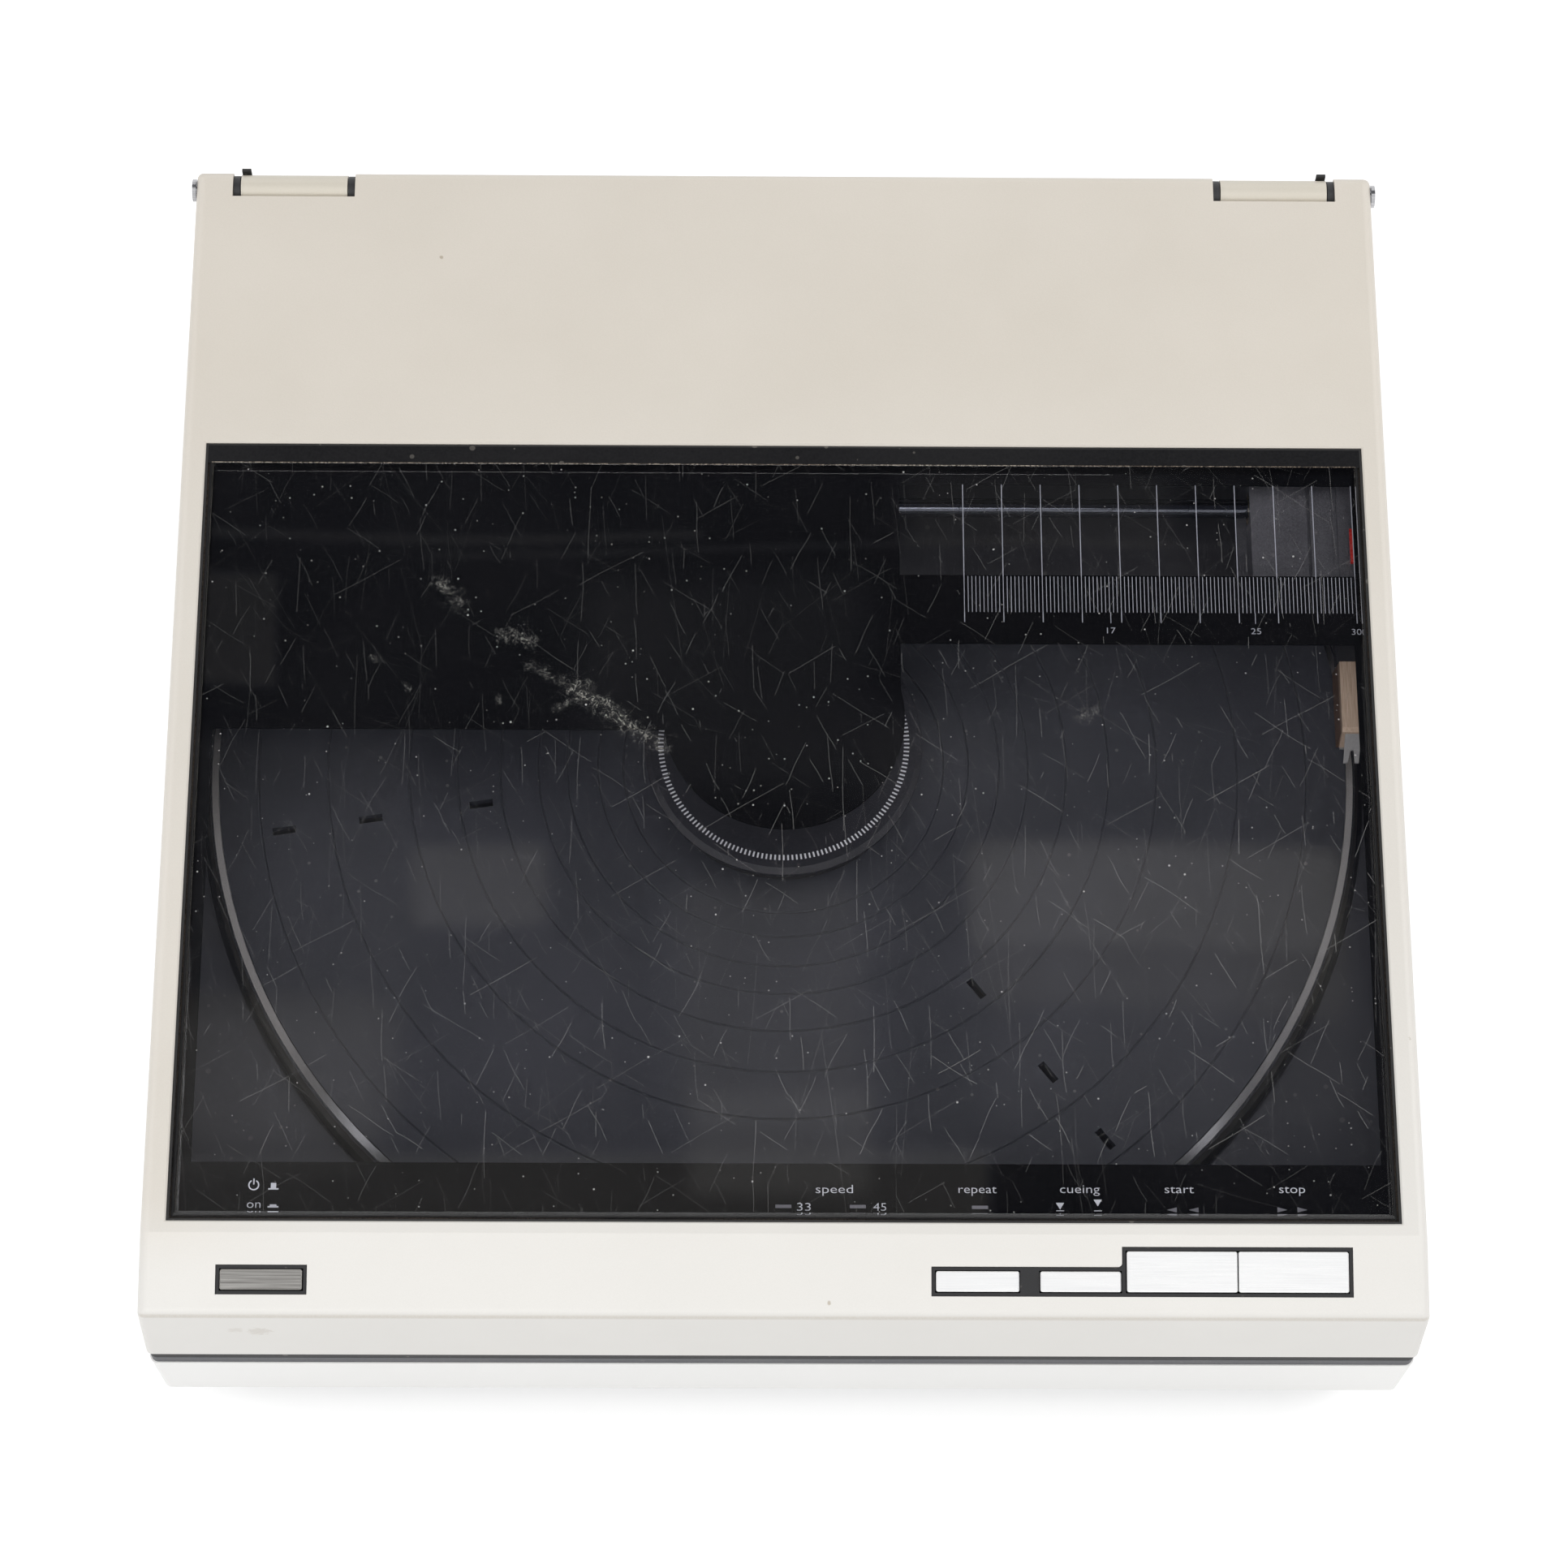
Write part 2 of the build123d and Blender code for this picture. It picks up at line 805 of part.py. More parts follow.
# Lid: the outer form and the hollow form share one outline
def lid_form(wall, roof, bottom_z):
    front_top = panel_front_draw - half_depth
    outline = [
        (wall - half_depth, bottom_z),
        (front_top + wall, body_height - panel_drop - roof),
        (crease_y, body_height - roof),
        (half_depth - lid_draft - wall, body_height - roof),
        (half_depth - wall, bottom_z),
    ]
    long_form = extrude(Plane.YZ * make_face(Polyline(*outline, close=True)), half_width + overrun, both=True)
    low_half = half_width - wall
    high_half = low_half - lid_draft
    cross = [
        (-low_half, bottom_z),
        (-high_half, body_height),
        (high_half, body_height),
        (low_half, bottom_z),
    ]
    cross_face = Plane.XZ * make_face(Polyline(*cross, close=True))
    return long_form & extrude(cross_face, half_depth + overrun, both=True)


def lid_half_width(z):
    return half_width - lid_draft * (z - lid_bottom_z) / lid_height


def lid_outer_form():
    form = lid_form(0, 0, lid_bottom_z)
    panel_bottom_z = body_height - panel_drop - lid_corner_radius
    rim = [
        edge
        for edge in form.edges()
        if edge.center().Z > panel_bottom_z
        and max(abs(edge.center().X), abs(edge.center().Y - crease_y)) > lid_corner_radius
    ]
    form = fillet(rim, lid_edge_radius)
    uprights = upright_edges(form, lid_bottom_z, body_height)
    return fillet([edge for edge in uprights if edge.length > lid_height / 2], lid_corner_radius)


def window_opening(margin, low_z, high_z):
    return slab(
        -opening_half_width + margin,
        opening_half_width - margin,
        opening_front_y + margin,
        opening_rear_y - margin,
        low_z,
        high_z,
    )


def lid_shell():
    shell = lid_outer_form() - lid_form(lid_wall, lid_roof, lid_bottom_z - overrun)
    cavity_x = lid_half_width(body_height) - lid_wall / 2
    ledge_reach = lid_wall / 2
    ledge_top = mask_z
    ledge = slab(
        -cavity_x,
        cavity_x,
        opening_front_y - ledge_reach,
        opening_rear_y + ledge_reach,
        ledge_top - ledge_thickness,
        body_height - lid_roof / 2,
    )
    shell += ledge
    shell -= window_opening(0, ledge_top, body_height + overrun)
    shell -= window_opening(ledge_width, lid_bottom_z, body_height)
    lip = [
        edge
        for edge in shell.edges()
        if abs(edge.center().Z - body_height) < window_lip_chamfer / 4
        and edge.length > window_opening_depth / 2
        and abs(edge.center().X) < opening_half_width + window_lip_chamfer
        and opening_front_y - window_lip_chamfer < edge.center().Y < opening_rear_y + window_lip_chamfer
    ]
    shell = chamfer(lip, window_lip_chamfer)
    reach = upstand_half_width + seat_clearance
    skirt_z = body_height - lid_rear_skirt
    skirt_front = half_depth - lid_wall * 3
    shell -= slab(-reach, reach, skirt_front, half_depth + overrun, lid_bottom_z - overrun, skirt_z)
    for side in (-1, 1):
        x0, x1 = span_x(side, hinge_inner_x - hinge_slot_gap, hinge_outer_x + hinge_slot_gap)
        shell -= slab(
            x0, x1, hinge_y - hinge_slot_front, half_depth + overrun, skirt_z - overrun, body_height + overrun
        )
        p0, p1 = span_x(side, hinge_outer_x, half_width + overrun)
        shell -= bar_x(hinge_pin_radius + shaft_clearance, p0, p1, hinge_y, hinge_z)
    shell -= bezel_outline(0, -lid_roof * 2, overrun)
    shell -= power_outline(0, -lid_roof * 2, overrun)
    return shell


# Stepped opening of the four keys on the sloped panel
def bezel_outline(margin, n0, n1):
    small = panel_slab(
        bezel_left_x + margin,
        bezel_step_x + bezel_border,
        bezel_small_rear_v + margin,
        bezel_front_v - margin,
        n0,
        n1,
    )
    large = panel_slab(
        bezel_step_x + margin,
        bezel_right_x - margin,
        bezel_large_rear_v + margin,
        bezel_front_v - margin,
        n0,
        n1,
    )
    body = small + large
    depth = (n0 + n1) / 2
    notch = Vector(bezel_step_x + margin, -bezel_small_rear_v - margin, depth)
    corner = panel_uprights(body).sort_by_distance(panel_plane.from_local_coords(notch))[0]
    return fillet(corner, bezel_notch_radius + margin)


def panel_uprights(shape):
    normal = panel_plane.z_dir
    return shape.edges().filter_by(lambda edge: abs(edge.tangent_at(0).dot(normal)) > 1 / 2)


def power_outline(margin, n0, n1):
    return panel_slab(
        power_left_x + margin,
        power_right_x - margin,
        bezel_small_rear_v + margin,
        bezel_front_v - margin,
        n0,
        n1,
    )


# Key rectangles: left, right, rear and front edges on the panel
def key_rectangles():
    front = bezel_front_v - bezel_border
    small_rear = bezel_small_rear_v + bezel_border
    large_rear = bezel_large_rear_v + bezel_border
    half_gap = key_gap / 2
    return {
        "repeat_key": (bezel_left_x + bezel_border, separator_left_x - key_gap, small_rear, front),
        "cueing_key": (separator_right_x + key_gap, bezel_step_x - key_gap, small_rear, front),
        "start_key": (bezel_step_x + bezel_border, large_key_split_x - half_gap, large_rear, front),
        "stop_key": (large_key_split_x + half_gap, bezel_right_x - bezel_border, large_rear, front),
        "power_key": (power_left_x + bezel_border, power_right_x - bezel_border, small_rear, front),
    }


def key(name):
    x0, x1, v0, v1 = key_rectangles()[name]
    body = panel_slab(x0, x1, v0, v1, key_lift - key_depth, key_lift)
    body = fillet(panel_uprights(body), key_corner_radius)
    top = body.faces().sort_by(Axis(panel_plane.origin, panel_plane.z_dir))[-1]
    return chamfer(top.edges(), key_corner_radius / 2)


# Black surround of the four keys, with its board posts, and the surround of the power key
def key_bezel():
    bottom = -bezel_drop - bezel_depth
    body = bezel_outline(bezel_fit, bottom, -bezel_drop)
    rects = key_rectangles()
    for name in ("repeat_key", "cueing_key"):
        x0, x1, v0, v1 = rects[name]
        body -= key_room(x0, x1, v0, v1)
    x0, v0, v1 = rects["start_key"][0], rects["start_key"][2], rects["start_key"][3]
    x1 = rects["stop_key"][1]
    body -= key_room(x0, x1, v0, v1)
    post = bezel_border - bezel_fit - slide_clearance
    middle_x = (separator_left_x + separator_right_x - post) / 2
    for x in (bezel_left_x + bezel_fit, middle_x, bezel_right_x - bezel_fit - post):
        body += bezel_post(x, post)
    return body


# Opening through a surround for a key or a row of keys
def key_room(x0, x1, v0, v1):
    gap = slide_clearance
    return panel_slab(x0 - gap, x1 + gap, v0 - gap, v1 + gap, -overrun * 2, overrun)


def bezel_post(x, width):
    rear = bezel_small_rear_v + bezel_border
    front = bezel_front_v - bezel_border
    return panel_slab(x, x + width, rear, front, -key_board_depth, -bezel_drop - bezel_depth)


def power_bezel():
    bottom = -bezel_drop - bezel_depth
    body = power_outline(bezel_fit, bottom, -bezel_drop)
    x0, x1, v0, v1 = key_rectangles()["power_key"]
    body -= key_room(x0, x1, v0, v1)
    post = bezel_border - bezel_fit - slide_clearance
    for x in (power_left_x + bezel_fit, power_right_x - bezel_fit - post):
        body += bezel_post(x, post)
    return body


def key_switch_board():
    bottom = -key_board_depth - key_board_thickness
    board = panel_slab(
        bezel_left_x, bezel_right_x, bezel_large_rear_v, bezel_front_v, bottom, -key_board_depth
    )
    for name, (x0, x1, v0, v1) in key_rectangles().items():
        if name == "power_key":
            continue
        x = (x0 + x1) / 2
        v = (v0 + v1) / 2
        half = key_switch_size / 2
        board += panel_slab(
            x - half, x + half, v - half, v + half, -key_board_depth, key_switch_height - key_board_depth
        )
    return board


def power_switch():
    x0, x1, v0, v1 = key_rectangles()["power_key"]
    bottom = -key_board_depth - key_switch_size
    body = panel_slab(x0, x1, v0, v1, bottom, -key_board_depth)
    middle = (x0 + x1) / 2
    half = key_switch_size / 2
    top = key_switch_height - key_board_depth - key_lift * 2
    inset = half / 2
    return body + panel_slab(middle - half, middle + half, v0 + inset, v1 - inset, -key_board_depth, top)


# Window with three bevelled edges and a step along the rear
def lid_window():
    pane = window_opening(window_gap, window_bottom_z, body_height)
    step_y = opening_rear_y - window_gap - window_step_width
    pane -= slab(
        -half_width, half_width, step_y, opening_rear_y, body_height - window_step_drop, body_height + overrun
    )
    rim = [
        edge
        for edge in pane.edges()
        if abs(edge.center().Z - body_height) < window_step_drop / 4
        and edge.center().Y < step_y - window_chamfer
    ]
    return chamfer(rim, window_chamfer)


def window_gasket():
    low = window_bottom_z + gasket_drop - mask_gap
    high = low + gasket_height
    seal = window_opening(gasket_gap, low, high)
    return seal - window_opening(window_gap - gasket_gap, low - overrun, high + overrun)


# Black print: clear over the platter and over the carriage scale
def window_mask():
    sheet = window_opening(window_gap * 2, mask_z, mask_z + mask_thickness)
    x0, x1, y0, y1 = scale_slot
    sheet -= slab(x0, x1, y0, y1, mask_z - overrun, body_height)
    vx0, vx1, vy0, vy1 = view_area
    clear = slab(vx0, vx1, vy0, vy1, mask_z - overrun, body_height)
    clear -= slab(vx0 - overrun, x0, mask_step_y, vy1 + overrun, mask_z - overrun, body_height)
    clear -= disc(mask_circle_radius, mask_z - overrun, body_height)
    return sheet - clear


# Chassis plate that closes the mechanism from below
def arm_chassis():
    lip = chassis_thickness
    side = lid_half_width(chassis_top_z + lip * 2) - lid_wall - seat_clearance
    plate = slab(-side, side, chassis_left_front_y, chassis_rear_y, chassis_z, chassis_top_z)
    plate -= slab(
        chassis_step_x,
        side + overrun,
        chassis_left_front_y - overrun,
        chassis_right_front_y,
        chassis_z,
        chassis_top_z,
    )
    plate -= disc(chassis_clamp_hole, chassis_z, chassis_top_z)
    lip_top = chassis_top_z + lip * 2
    plate += slab(-side, side, chassis_rear_y - lip, chassis_rear_y, chassis_z, lip_top)
    front = chassis_left_front_y
    return plate + slab(-side, -chassis_clamp_hole, front, front + lip, chassis_z, lip_top)


# Bridge that holds the record clamp over the spindle
def clamp_bridge():
    top = bridge_z + bridge_thickness
    beam = slab(-bridge_half_width, bridge_half_width, 0, bridge_rear_y, bridge_z, top)
    beam += disc(bridge_half_width, bridge_z, top)
    post_front = bridge_rear_y - bridge_post_depth
    for side in (-1, 1):
        x0, x1 = span_x(side, bridge_half_width - bridge_rib, bridge_half_width)
        beam += slab(x0, x1, post_front, bridge_rear_y, chassis_top_z, bridge_z)
        beam += slab(x0, x1, 0, bridge_rear_y, bridge_z - bridge_rib, bridge_z)
    beam -= disc(clamp_stem_radius + shaft_clearance * 2, bridge_z - overrun, top + overrun)
    return beam


def clamp_holder():
    plate_bottom = clamp_top_z - clamp_plate_thickness
    flange_top = plate_bottom - seat_clearance
    ring_z = bridge_z + bridge_thickness + seat_clearance
    stem_top = ring_z + clamp_ring_thickness
    holder = disc(clamp_stem_radius, flange_top, stem_top)
    holder += disc(clamp_flange_radius, flange_top - clamp_flange_thickness, flange_top)
    holder += disc(clamp_collar_radius, clamp_collar_z, clamp_collar_z + clamp_collar_thickness)
    holder += disc(clamp_collar_radius, ring_z, stem_top)
    return holder


def clamp_spring():
    low = clamp_collar_z + clamp_collar_thickness
    inner = clamp_stem_radius + slide_clearance * 2
    return ring(inner + clamp_spring_wire, inner, low, bridge_z)


# Clamp disc that turns with the record; a strobe scale is printed on it
def clamp_disc():
    plate_bottom = clamp_top_z - clamp_plate_thickness
    skirt_bottom = mat_top_z + record_gap + clamp_pad_height
    bore = clamp_stem_radius + shaft_clearance * 2
    section = [
        (bore, plate_bottom),
        (clamp_skirt_inner, plate_bottom),
        (clamp_skirt_inner, skirt_bottom),
        (clamp_skirt_outer, skirt_bottom),
        (clamp_skirt_outer, plate_bottom),
        (clamp_radius, plate_bottom),
        (clamp_radius, clamp_top_z - clamp_edge),
        (clamp_radius - clamp_edge, clamp_top_z),
        (bore, clamp_top_z),
    ]
    return turned(section)


def clamp_pad():
    low = mat_top_z + record_gap
    return ring(clamp_skirt_outer, clamp_skirt_inner, low, low + clamp_pad_height)


# Rods, brackets and belt drive of the carriage
def guide_rods():
    right = right_bracket_x + right_bracket_thickness
    rod = bar_x(rod_radius, rod_left_x, right, rod_y, rod_z)
    rail = bar_x(rail_radius, rod_left_x, right, rail_y, rod_z)
    return Compound(children=[rod, rail])


def rod_brackets():
    left = slab(
        rod_left_x,
        rod_left_x + rod_bracket_thickness,
        rod_bracket_front_y,
        rod_bracket_rear_y,
        chassis_top_z,
        rod_bracket_top_z,
    )
    x0 = right_bracket_x
    x1 = right_bracket_x + right_bracket_thickness
    right = slab(x0, x1, rod_bracket_front_y, rod_bracket_rear_y, rod_bracket_sill_z, rod_bracket_top_z)
    right += slab(x0, x1, rod_bracket_foot_y, rod_bracket_rear_y, chassis_top_z, rod_bracket_sill_z)
    holes = bar_x(rod_radius + shaft_clearance, -half_width, half_width, rod_y, rod_z)
    holes += bar_x(rail_radius + shaft_clearance, -half_width, half_width, rail_y, rod_z)
    return Compound(children=[left - holes, right - holes])


def arm_motor():
    top = chassis_top_z + arm_motor_height
    boss = shaft_clearance + pulley_flange * 2
    motor = disc(arm_motor_radius, chassis_top_z, top, drive_pulley_x, pulley_y)
    motor += disc(motor_boss_radius, top, top + boss, drive_pulley_x, pulley_y)
    return motor - disc(
        pulley_bore_radius + shaft_clearance, top - overrun, top + overrun, drive_pulley_x, pulley_y
    )


def pulley_wheel(x):
    low = pulley_z
    high = pulley_z + pulley_height
    wheel = disc(pulley_radius, low, high, x, pulley_y)
    wheel += disc(pulley_flange_radius, low, low + pulley_flange, x, pulley_y)
    wheel += disc(pulley_flange_radius, high - pulley_flange, high, x, pulley_y)
    return wheel


def drive_pulley():
    shaft_bottom = chassis_top_z + arm_motor_height - overrun + shaft_clearance * 2
    return pulley_wheel(drive_pulley_x) + disc(
        pulley_bore_radius, shaft_bottom, pulley_z, drive_pulley_x, pulley_y
    )


def idler_pulley():
    bore = disc(pulley_bore_radius + shaft_clearance, 0, body_height, idler_pulley_x, pulley_y)
    return pulley_wheel(idler_pulley_x) - bore


def idler_post():
    shoulder = pulley_z - seat_clearance
    top = pulley_z + pulley_height + seat_clearance
    post = disc(idler_post_radius, chassis_top_z, shoulder, idler_pulley_x, pulley_y)
    post += disc(pulley_bore_radius, shoulder, top, idler_pulley_x, pulley_y)
    post += disc(pulley_bore_radius * 2, top, top + pulley_flange, idler_pulley_x, pulley_y)
    return post


def drive_belt():
    inner = pulley_radius + shaft_clearance
    outer = inner + belt_thickness
    low = belt_z
    high = belt_z + belt_height
    belt = slab(drive_pulley_x, idler_pulley_x, pulley_y - outer, pulley_y + outer, low, high)
    belt += disc(outer, low, high, drive_pulley_x, pulley_y)
    belt += disc(outer, low, high, idler_pulley_x, pulley_y)
    under = low - overrun
    over = high + overrun
    core = slab(drive_pulley_x, idler_pulley_x, pulley_y - inner, pulley_y + inner, under, over)
    core += disc(inner, under, over, drive_pulley_x, pulley_y)
    core += disc(inner, under, over, idler_pulley_x, pulley_y)
    return belt - core


# Carriage: bush block, cheek, roof over the arm, and the two yaw pivots
def carriage_frame():
    roof_z = carriage_top_z - carriage_roof
    block = slab(
        carriage_left_x,
        carriage_right_x,
        carriage_block_front_y,
        carriage_rear_y,
        carriage_block_z,
        carriage_top_z,
    )
    cheek = slab(
        carriage_left_x,
        carriage_left_x + carriage_cheek,
        carriage_front_y,
        carriage_rear_y,
        carriage_bottom_z,
        carriage_top_z,
    )
    roof_rear = carriage_block_front_y
    roof = slab(carriage_left_x, carriage_right_x, carriage_front_y, roof_rear, roof_z, carriage_top_z)
    roof += slab(
        carriage_right_x,
        carriage_roof_right_x,
        carriage_front_y,
        rod_bracket_front_y - seat_clearance,
        roof_z,
        carriage_top_z,
    )
    tongue = slab(
        carriage_left_x,
        arm_x + gimbal_half_depth,
        pivot_y - carriage_tongue_depth / 2,
        pivot_y + carriage_tongue_depth / 2,
        carriage_bottom_z,
        carriage_bottom_z + carriage_tongue_thickness,
    )
    clamp_y = pulley_y - pulley_radius - shaft_clearance - belt_thickness - shaft_clearance * 2
    clamp_right_x = belt_clamp_x + belt_clamp_width
    clamp_low_z = belt_z - belt_height
    belt_clamp = slab(belt_clamp_x, clamp_right_x, carriage_rear_y, clamp_y, clamp_low_z, carriage_top_z)
    ring_top = pivot_z + gimbal_half_height
    ring_bottom = pivot_z - gimbal_half_height
    post = disc(gimbal_pin_radius * 3, ring_top + seat_clearance, roof_z, arm_x, pivot_y)
    pins = disc(gimbal_pin_radius, ring_top - gimbal_wall / 2, roof_z, arm_x, pivot_y)
    pins += disc(gimbal_pin_radius, carriage_bottom_z, ring_bottom + gimbal_wall / 2, arm_x, pivot_y)
    foot = slab(
        carriage_foot_x,
        carriage_left_x,
        carriage_front_y,
        rod_y + rod_radius,
        carriage_block_z - carriage_foot_thickness,
        carriage_block_z,
    )
    frame = block + cheek + roof + tongue + belt_clamp + post + pins + foot
    frame -= bar_x(bush_radius + shaft_clearance, 0, half_width, rod_y, rod_z)
    rail_room = rail_radius + slide_clearance
    frame -= bar_x(rail_room, 0, half_width, rail_y, rod_z)
    frame -= slab(0, half_width, rail_y, carriage_rear_y, rod_z - rail_room, rod_z + rail_room)
    return frame


# Cover in two plates: the right one is higher and has a groove along it
def carriage_cover():
    low = carriage_top_z
    mid = low + carriage_cover_thickness
    left = slab(carriage_left_x, carriage_cover_split_x, carriage_front_y, carriage_rear_y, low, mid)
    right = slab(
        carriage_cover_split_x + carriage_cover_gap,
        carriage_right_x,
        carriage_front_y,
        carriage_rear_y,
        low,
        mid + carriage_cover_step,
    )
    right -= slab(
        carriage_groove_x - carriage_groove_width / 2,
        carriage_groove_x + carriage_groove_width / 2,
        carriage_front_y - overrun,
        carriage_rear_y + overrun,
        mid,
        mid + overrun,
    )
    return Compound(children=[left, right])


def carriage_bushes():
    bushes = []
    for x in (carriage_left_x, carriage_right_x - bush_length):
        bush = bar_x(bush_radius, x, x + bush_length, rod_y, rod_z)
        bushes.append(bush - bar_x(rod_radius + shaft_clearance, 0, half_width, rod_y, rod_z))
    return Compound(children=bushes)


def position_pointer():
    low = carriage_top_z + carriage_cover_thickness + carriage_cover_step
    return slab(
        pointer_x - pointer_width / 2,
        pointer_x + pointer_width / 2,
        pointer_front_y,
        pointer_front_y + pointer_length,
        low,
        low + pointer_height,
    )


def lift_solenoid():
    top = carriage_top_z - carriage_roof
    body = disc(solenoid_radius, solenoid_bottom_z, top, solenoid_x, lifter_y)
    bore_radius = lifter_stem_radius + slide_clearance
    return body - disc(bore_radius, solenoid_bottom_z - overrun, top - overrun / 2, solenoid_x, lifter_y)


def arm_lifter():
    top = pivot_z - arm_tube_height / 2 - seat_clearance
    finger = slab(
        solenoid_x - lifter_stem_radius,
        arm_x + arm_tube_half_width,
        lifter_y - lifter_depth / 2,
        lifter_y + lifter_depth / 2,
        top - lifter_thickness,
        top,
    )
    stem_top = carriage_top_z - carriage_roof - overrun
    return finger + disc(lifter_stem_radius, top, stem_top, solenoid_x, lifter_y)


def gimbal_ring():
    inner_x = gimbal_half_width - gimbal_wall
    inner_z = gimbal_half_height - gimbal_wall
    frame = slab(
        arm_x - gimbal_half_width,
        arm_x + gimbal_half_width,
        pivot_y - gimbal_half_depth,
        pivot_y + gimbal_half_depth,
        pivot_z - gimbal_half_height,
        pivot_z + gimbal_half_height,
    )
    frame -= slab(
        arm_x - inner_x,
        arm_x + inner_x,
        pivot_y - gimbal_half_depth - overrun,
        pivot_y + gimbal_half_depth + overrun,
        pivot_z - inner_z,
        pivot_z + inner_z,
    )
    frame -= disc(gimbal_pin_radius + shaft_clearance, 0, body_height, arm_x, pivot_y)
    pin_in = arm_tube_half_width - arm_tube_wall
    for side in (-1, 1):
        x0, x1 = span_x(side, pin_in, inner_x)
        frame += bar_x(gimbal_pin_radius, arm_x + x0, arm_x + x1, pivot_y, pivot_z)
    return frame


def tone_arm():
    low = pivot_z - arm_tube_height / 2
    high = pivot_z + arm_tube_height / 2
    socket_rear_y = cartridge_rear_y + arm_socket_depth
    tube = slab(
        arm_x - arm_tube_half_width, arm_x + arm_tube_half_width, cartridge_rear_y, arm_tube_rear_y, low, high
    )
    tube -= slab(
        arm_x - arm_tube_half_width + arm_tube_wall,
        arm_x + arm_tube_half_width - arm_tube_wall,
        socket_rear_y,
        arm_tube_rear_y - arm_tube_wall,
        low - overrun,
        high - arm_tube_wall,
    )
    tube -= bar_x(gimbal_pin_radius + shaft_clearance, 0, half_width, pivot_y, pivot_z)
    return tube + slab(
        arm_x - arm_socket_half_width,
        arm_x + arm_socket_half_width,
        cartridge_rear_y,
        socket_rear_y,
        low,
        arm_socket_top_z,
    )


def counterweight():
    return slab(
        arm_x - weight_half_width,
        arm_x + weight_half_width,
        arm_tube_rear_y,
        arm_tube_rear_y + weight_length,
        weight_bottom_z,
        weight_bottom_z + weight_height,
    )


# Cartridge: a long block with drawn-in sides and a sloped front
def cartridge():
    def level(half_span, front_y, z):
        middle_y = (front_y + cartridge_rear_y) / 2
        return Pos(arm_x, middle_y, z) * Rectangle(half_span * 2, cartridge_rear_y - front_y)

    low = level(cartridge_half_width, cartridge_front_y, cartridge_bottom_z)
    high = level(cartridge_top_half_width, cartridge_top_front_y, cartridge_top_z)
    body = loft([low.face(), high.face()], ruled=True)
    top = body.faces().sort_by(Axis.Z)[-1]
    return chamfer(top.edges().sort_by(Axis.Y)[0], cartridge_nose_chamfer)


# Stylus holder below the cartridge, the stylus on its arm, and the forked guard before them
def stylus():
    bottom = cartridge_bottom_z - stylus_holder_height
    front = cartridge_front_y
    block = slab(
        arm_x - stylus_holder_half_width,
        arm_x + stylus_holder_half_width,
        front,
        front + stylus_holder_length,
        bottom,
        cartridge_bottom_z,
    )
    tip_y = front - stylus_reach
    root_y = front + stylus_holder_height
    block += bar_y(stylus_radius, tip_y - stylus_radius, root_y, arm_x, bottom + stylus_radius * 2)
    tip_top = bottom + stylus_radius * 2
    tip = Pos(arm_x, tip_y, (stylus_tip_z + tip_top) / 2) * Cone(
        stylus_radius / 4, stylus_radius * 2 / 3, tip_top - stylus_tip_z
    )
    return Compound(children=[block + tip, stylus_guard()])


# Sloped plate from the cartridge's nose down past the stylus, cut into two prongs
def stylus_guard():
    lean = (cartridge_top_front_y - cartridge_front_y) / (cartridge_top_z - cartridge_bottom_z)

    def nose_y(z):
        return cartridge_front_y + lean * (z - cartridge_bottom_z) - shaft_clearance

    under_z = guard_root_z - 2 * guard_thickness
    outline = [
        (nose_y(guard_root_z), guard_root_z),
        (guard_tip_y, guard_tip_z),
        (guard_tip_y, guard_tip_z - guard_thickness),
        (nose_y(under_z), under_z),
    ]
    plate = extrude(Plane.YZ * make_face(Polyline(*outline, close=True)), guard_half_width, both=True)
    gap = guard_half_width - guard_prong_width
    fork_y = guard_tip_y + (nose_y(guard_root_z) - guard_tip_y) * guard_fork_share
    notch = [
        (-gap, guard_tip_y - overrun),
        (gap, guard_tip_y - overrun),
        (gap, guard_tip_y),
        (gap / 2, fork_y),
        (-gap / 2, fork_y),
        (-gap, guard_tip_y),
    ]
    cut = extrude(make_face(Polyline(*notch, close=True)), body_height)
    return Pos(arm_x + guard_offset, 0, 0) * (plate - cut)


# Lamps for speed and repeat, on a board hung from the window ledge
def indicator_board():
    top = indicator_board_z + indicator_board_thickness
    board = slab(
        indicator_board_left_x,
        indicator_board_right_x,
        indicator_board_front_y,
        indicator_board_rear_y,
        indicator_board_z,
        top,
    )
    lamp_y = indicator_board_rear_y - indicator_depth * 4
    for x in indicator_xs:
        board += slab(
            x - indicator_width / 2,
            x + indicator_width / 2,
            lamp_y - indicator_depth / 2,
            lamp_y + indicator_depth / 2,
            top,
            top + indicator_height,
        )
    post_y = opening_front_y
    for x in (indicator_board_left_x + indicator_width, indicator_board_right_x - indicator_width):
        board += disc(indicator_depth * 3 / 4, top, mask_z - ledge_thickness, x, post_y)
    return board


# Hinges: brackets and covers on the base, ears and pins on the lid
def hinge_bracket(side):
    inset = hinge_cap_wall + shaft_clearance
    x0, x1 = span_x(side, hinge_inner_x + inset, hinge_outer_x - inset)
    back = half_depth - base_wall
    front = back - hinge_plate_thickness
    spring_low = hinge_z - hinge_lug_radius - seat_clearance
    plate = slab(x0, x1, front, back, rim_top_z + shaft_clearance * 2, spring_low)
    for lug0, lug1 in ((x0, x0 + hinge_lug_length), (x1 - hinge_lug_length, x1)):
        plate += slab(lug0, lug1, front, back, spring_low, hinge_z)
        plate += bar_x(hinge_lug_radius, lug0, lug1, hinge_y, hinge_z)
    return plate - bar_x(hinge_pin_radius + shaft_clearance, x0 - overrun, x1 + overrun, hinge_y, hinge_z)


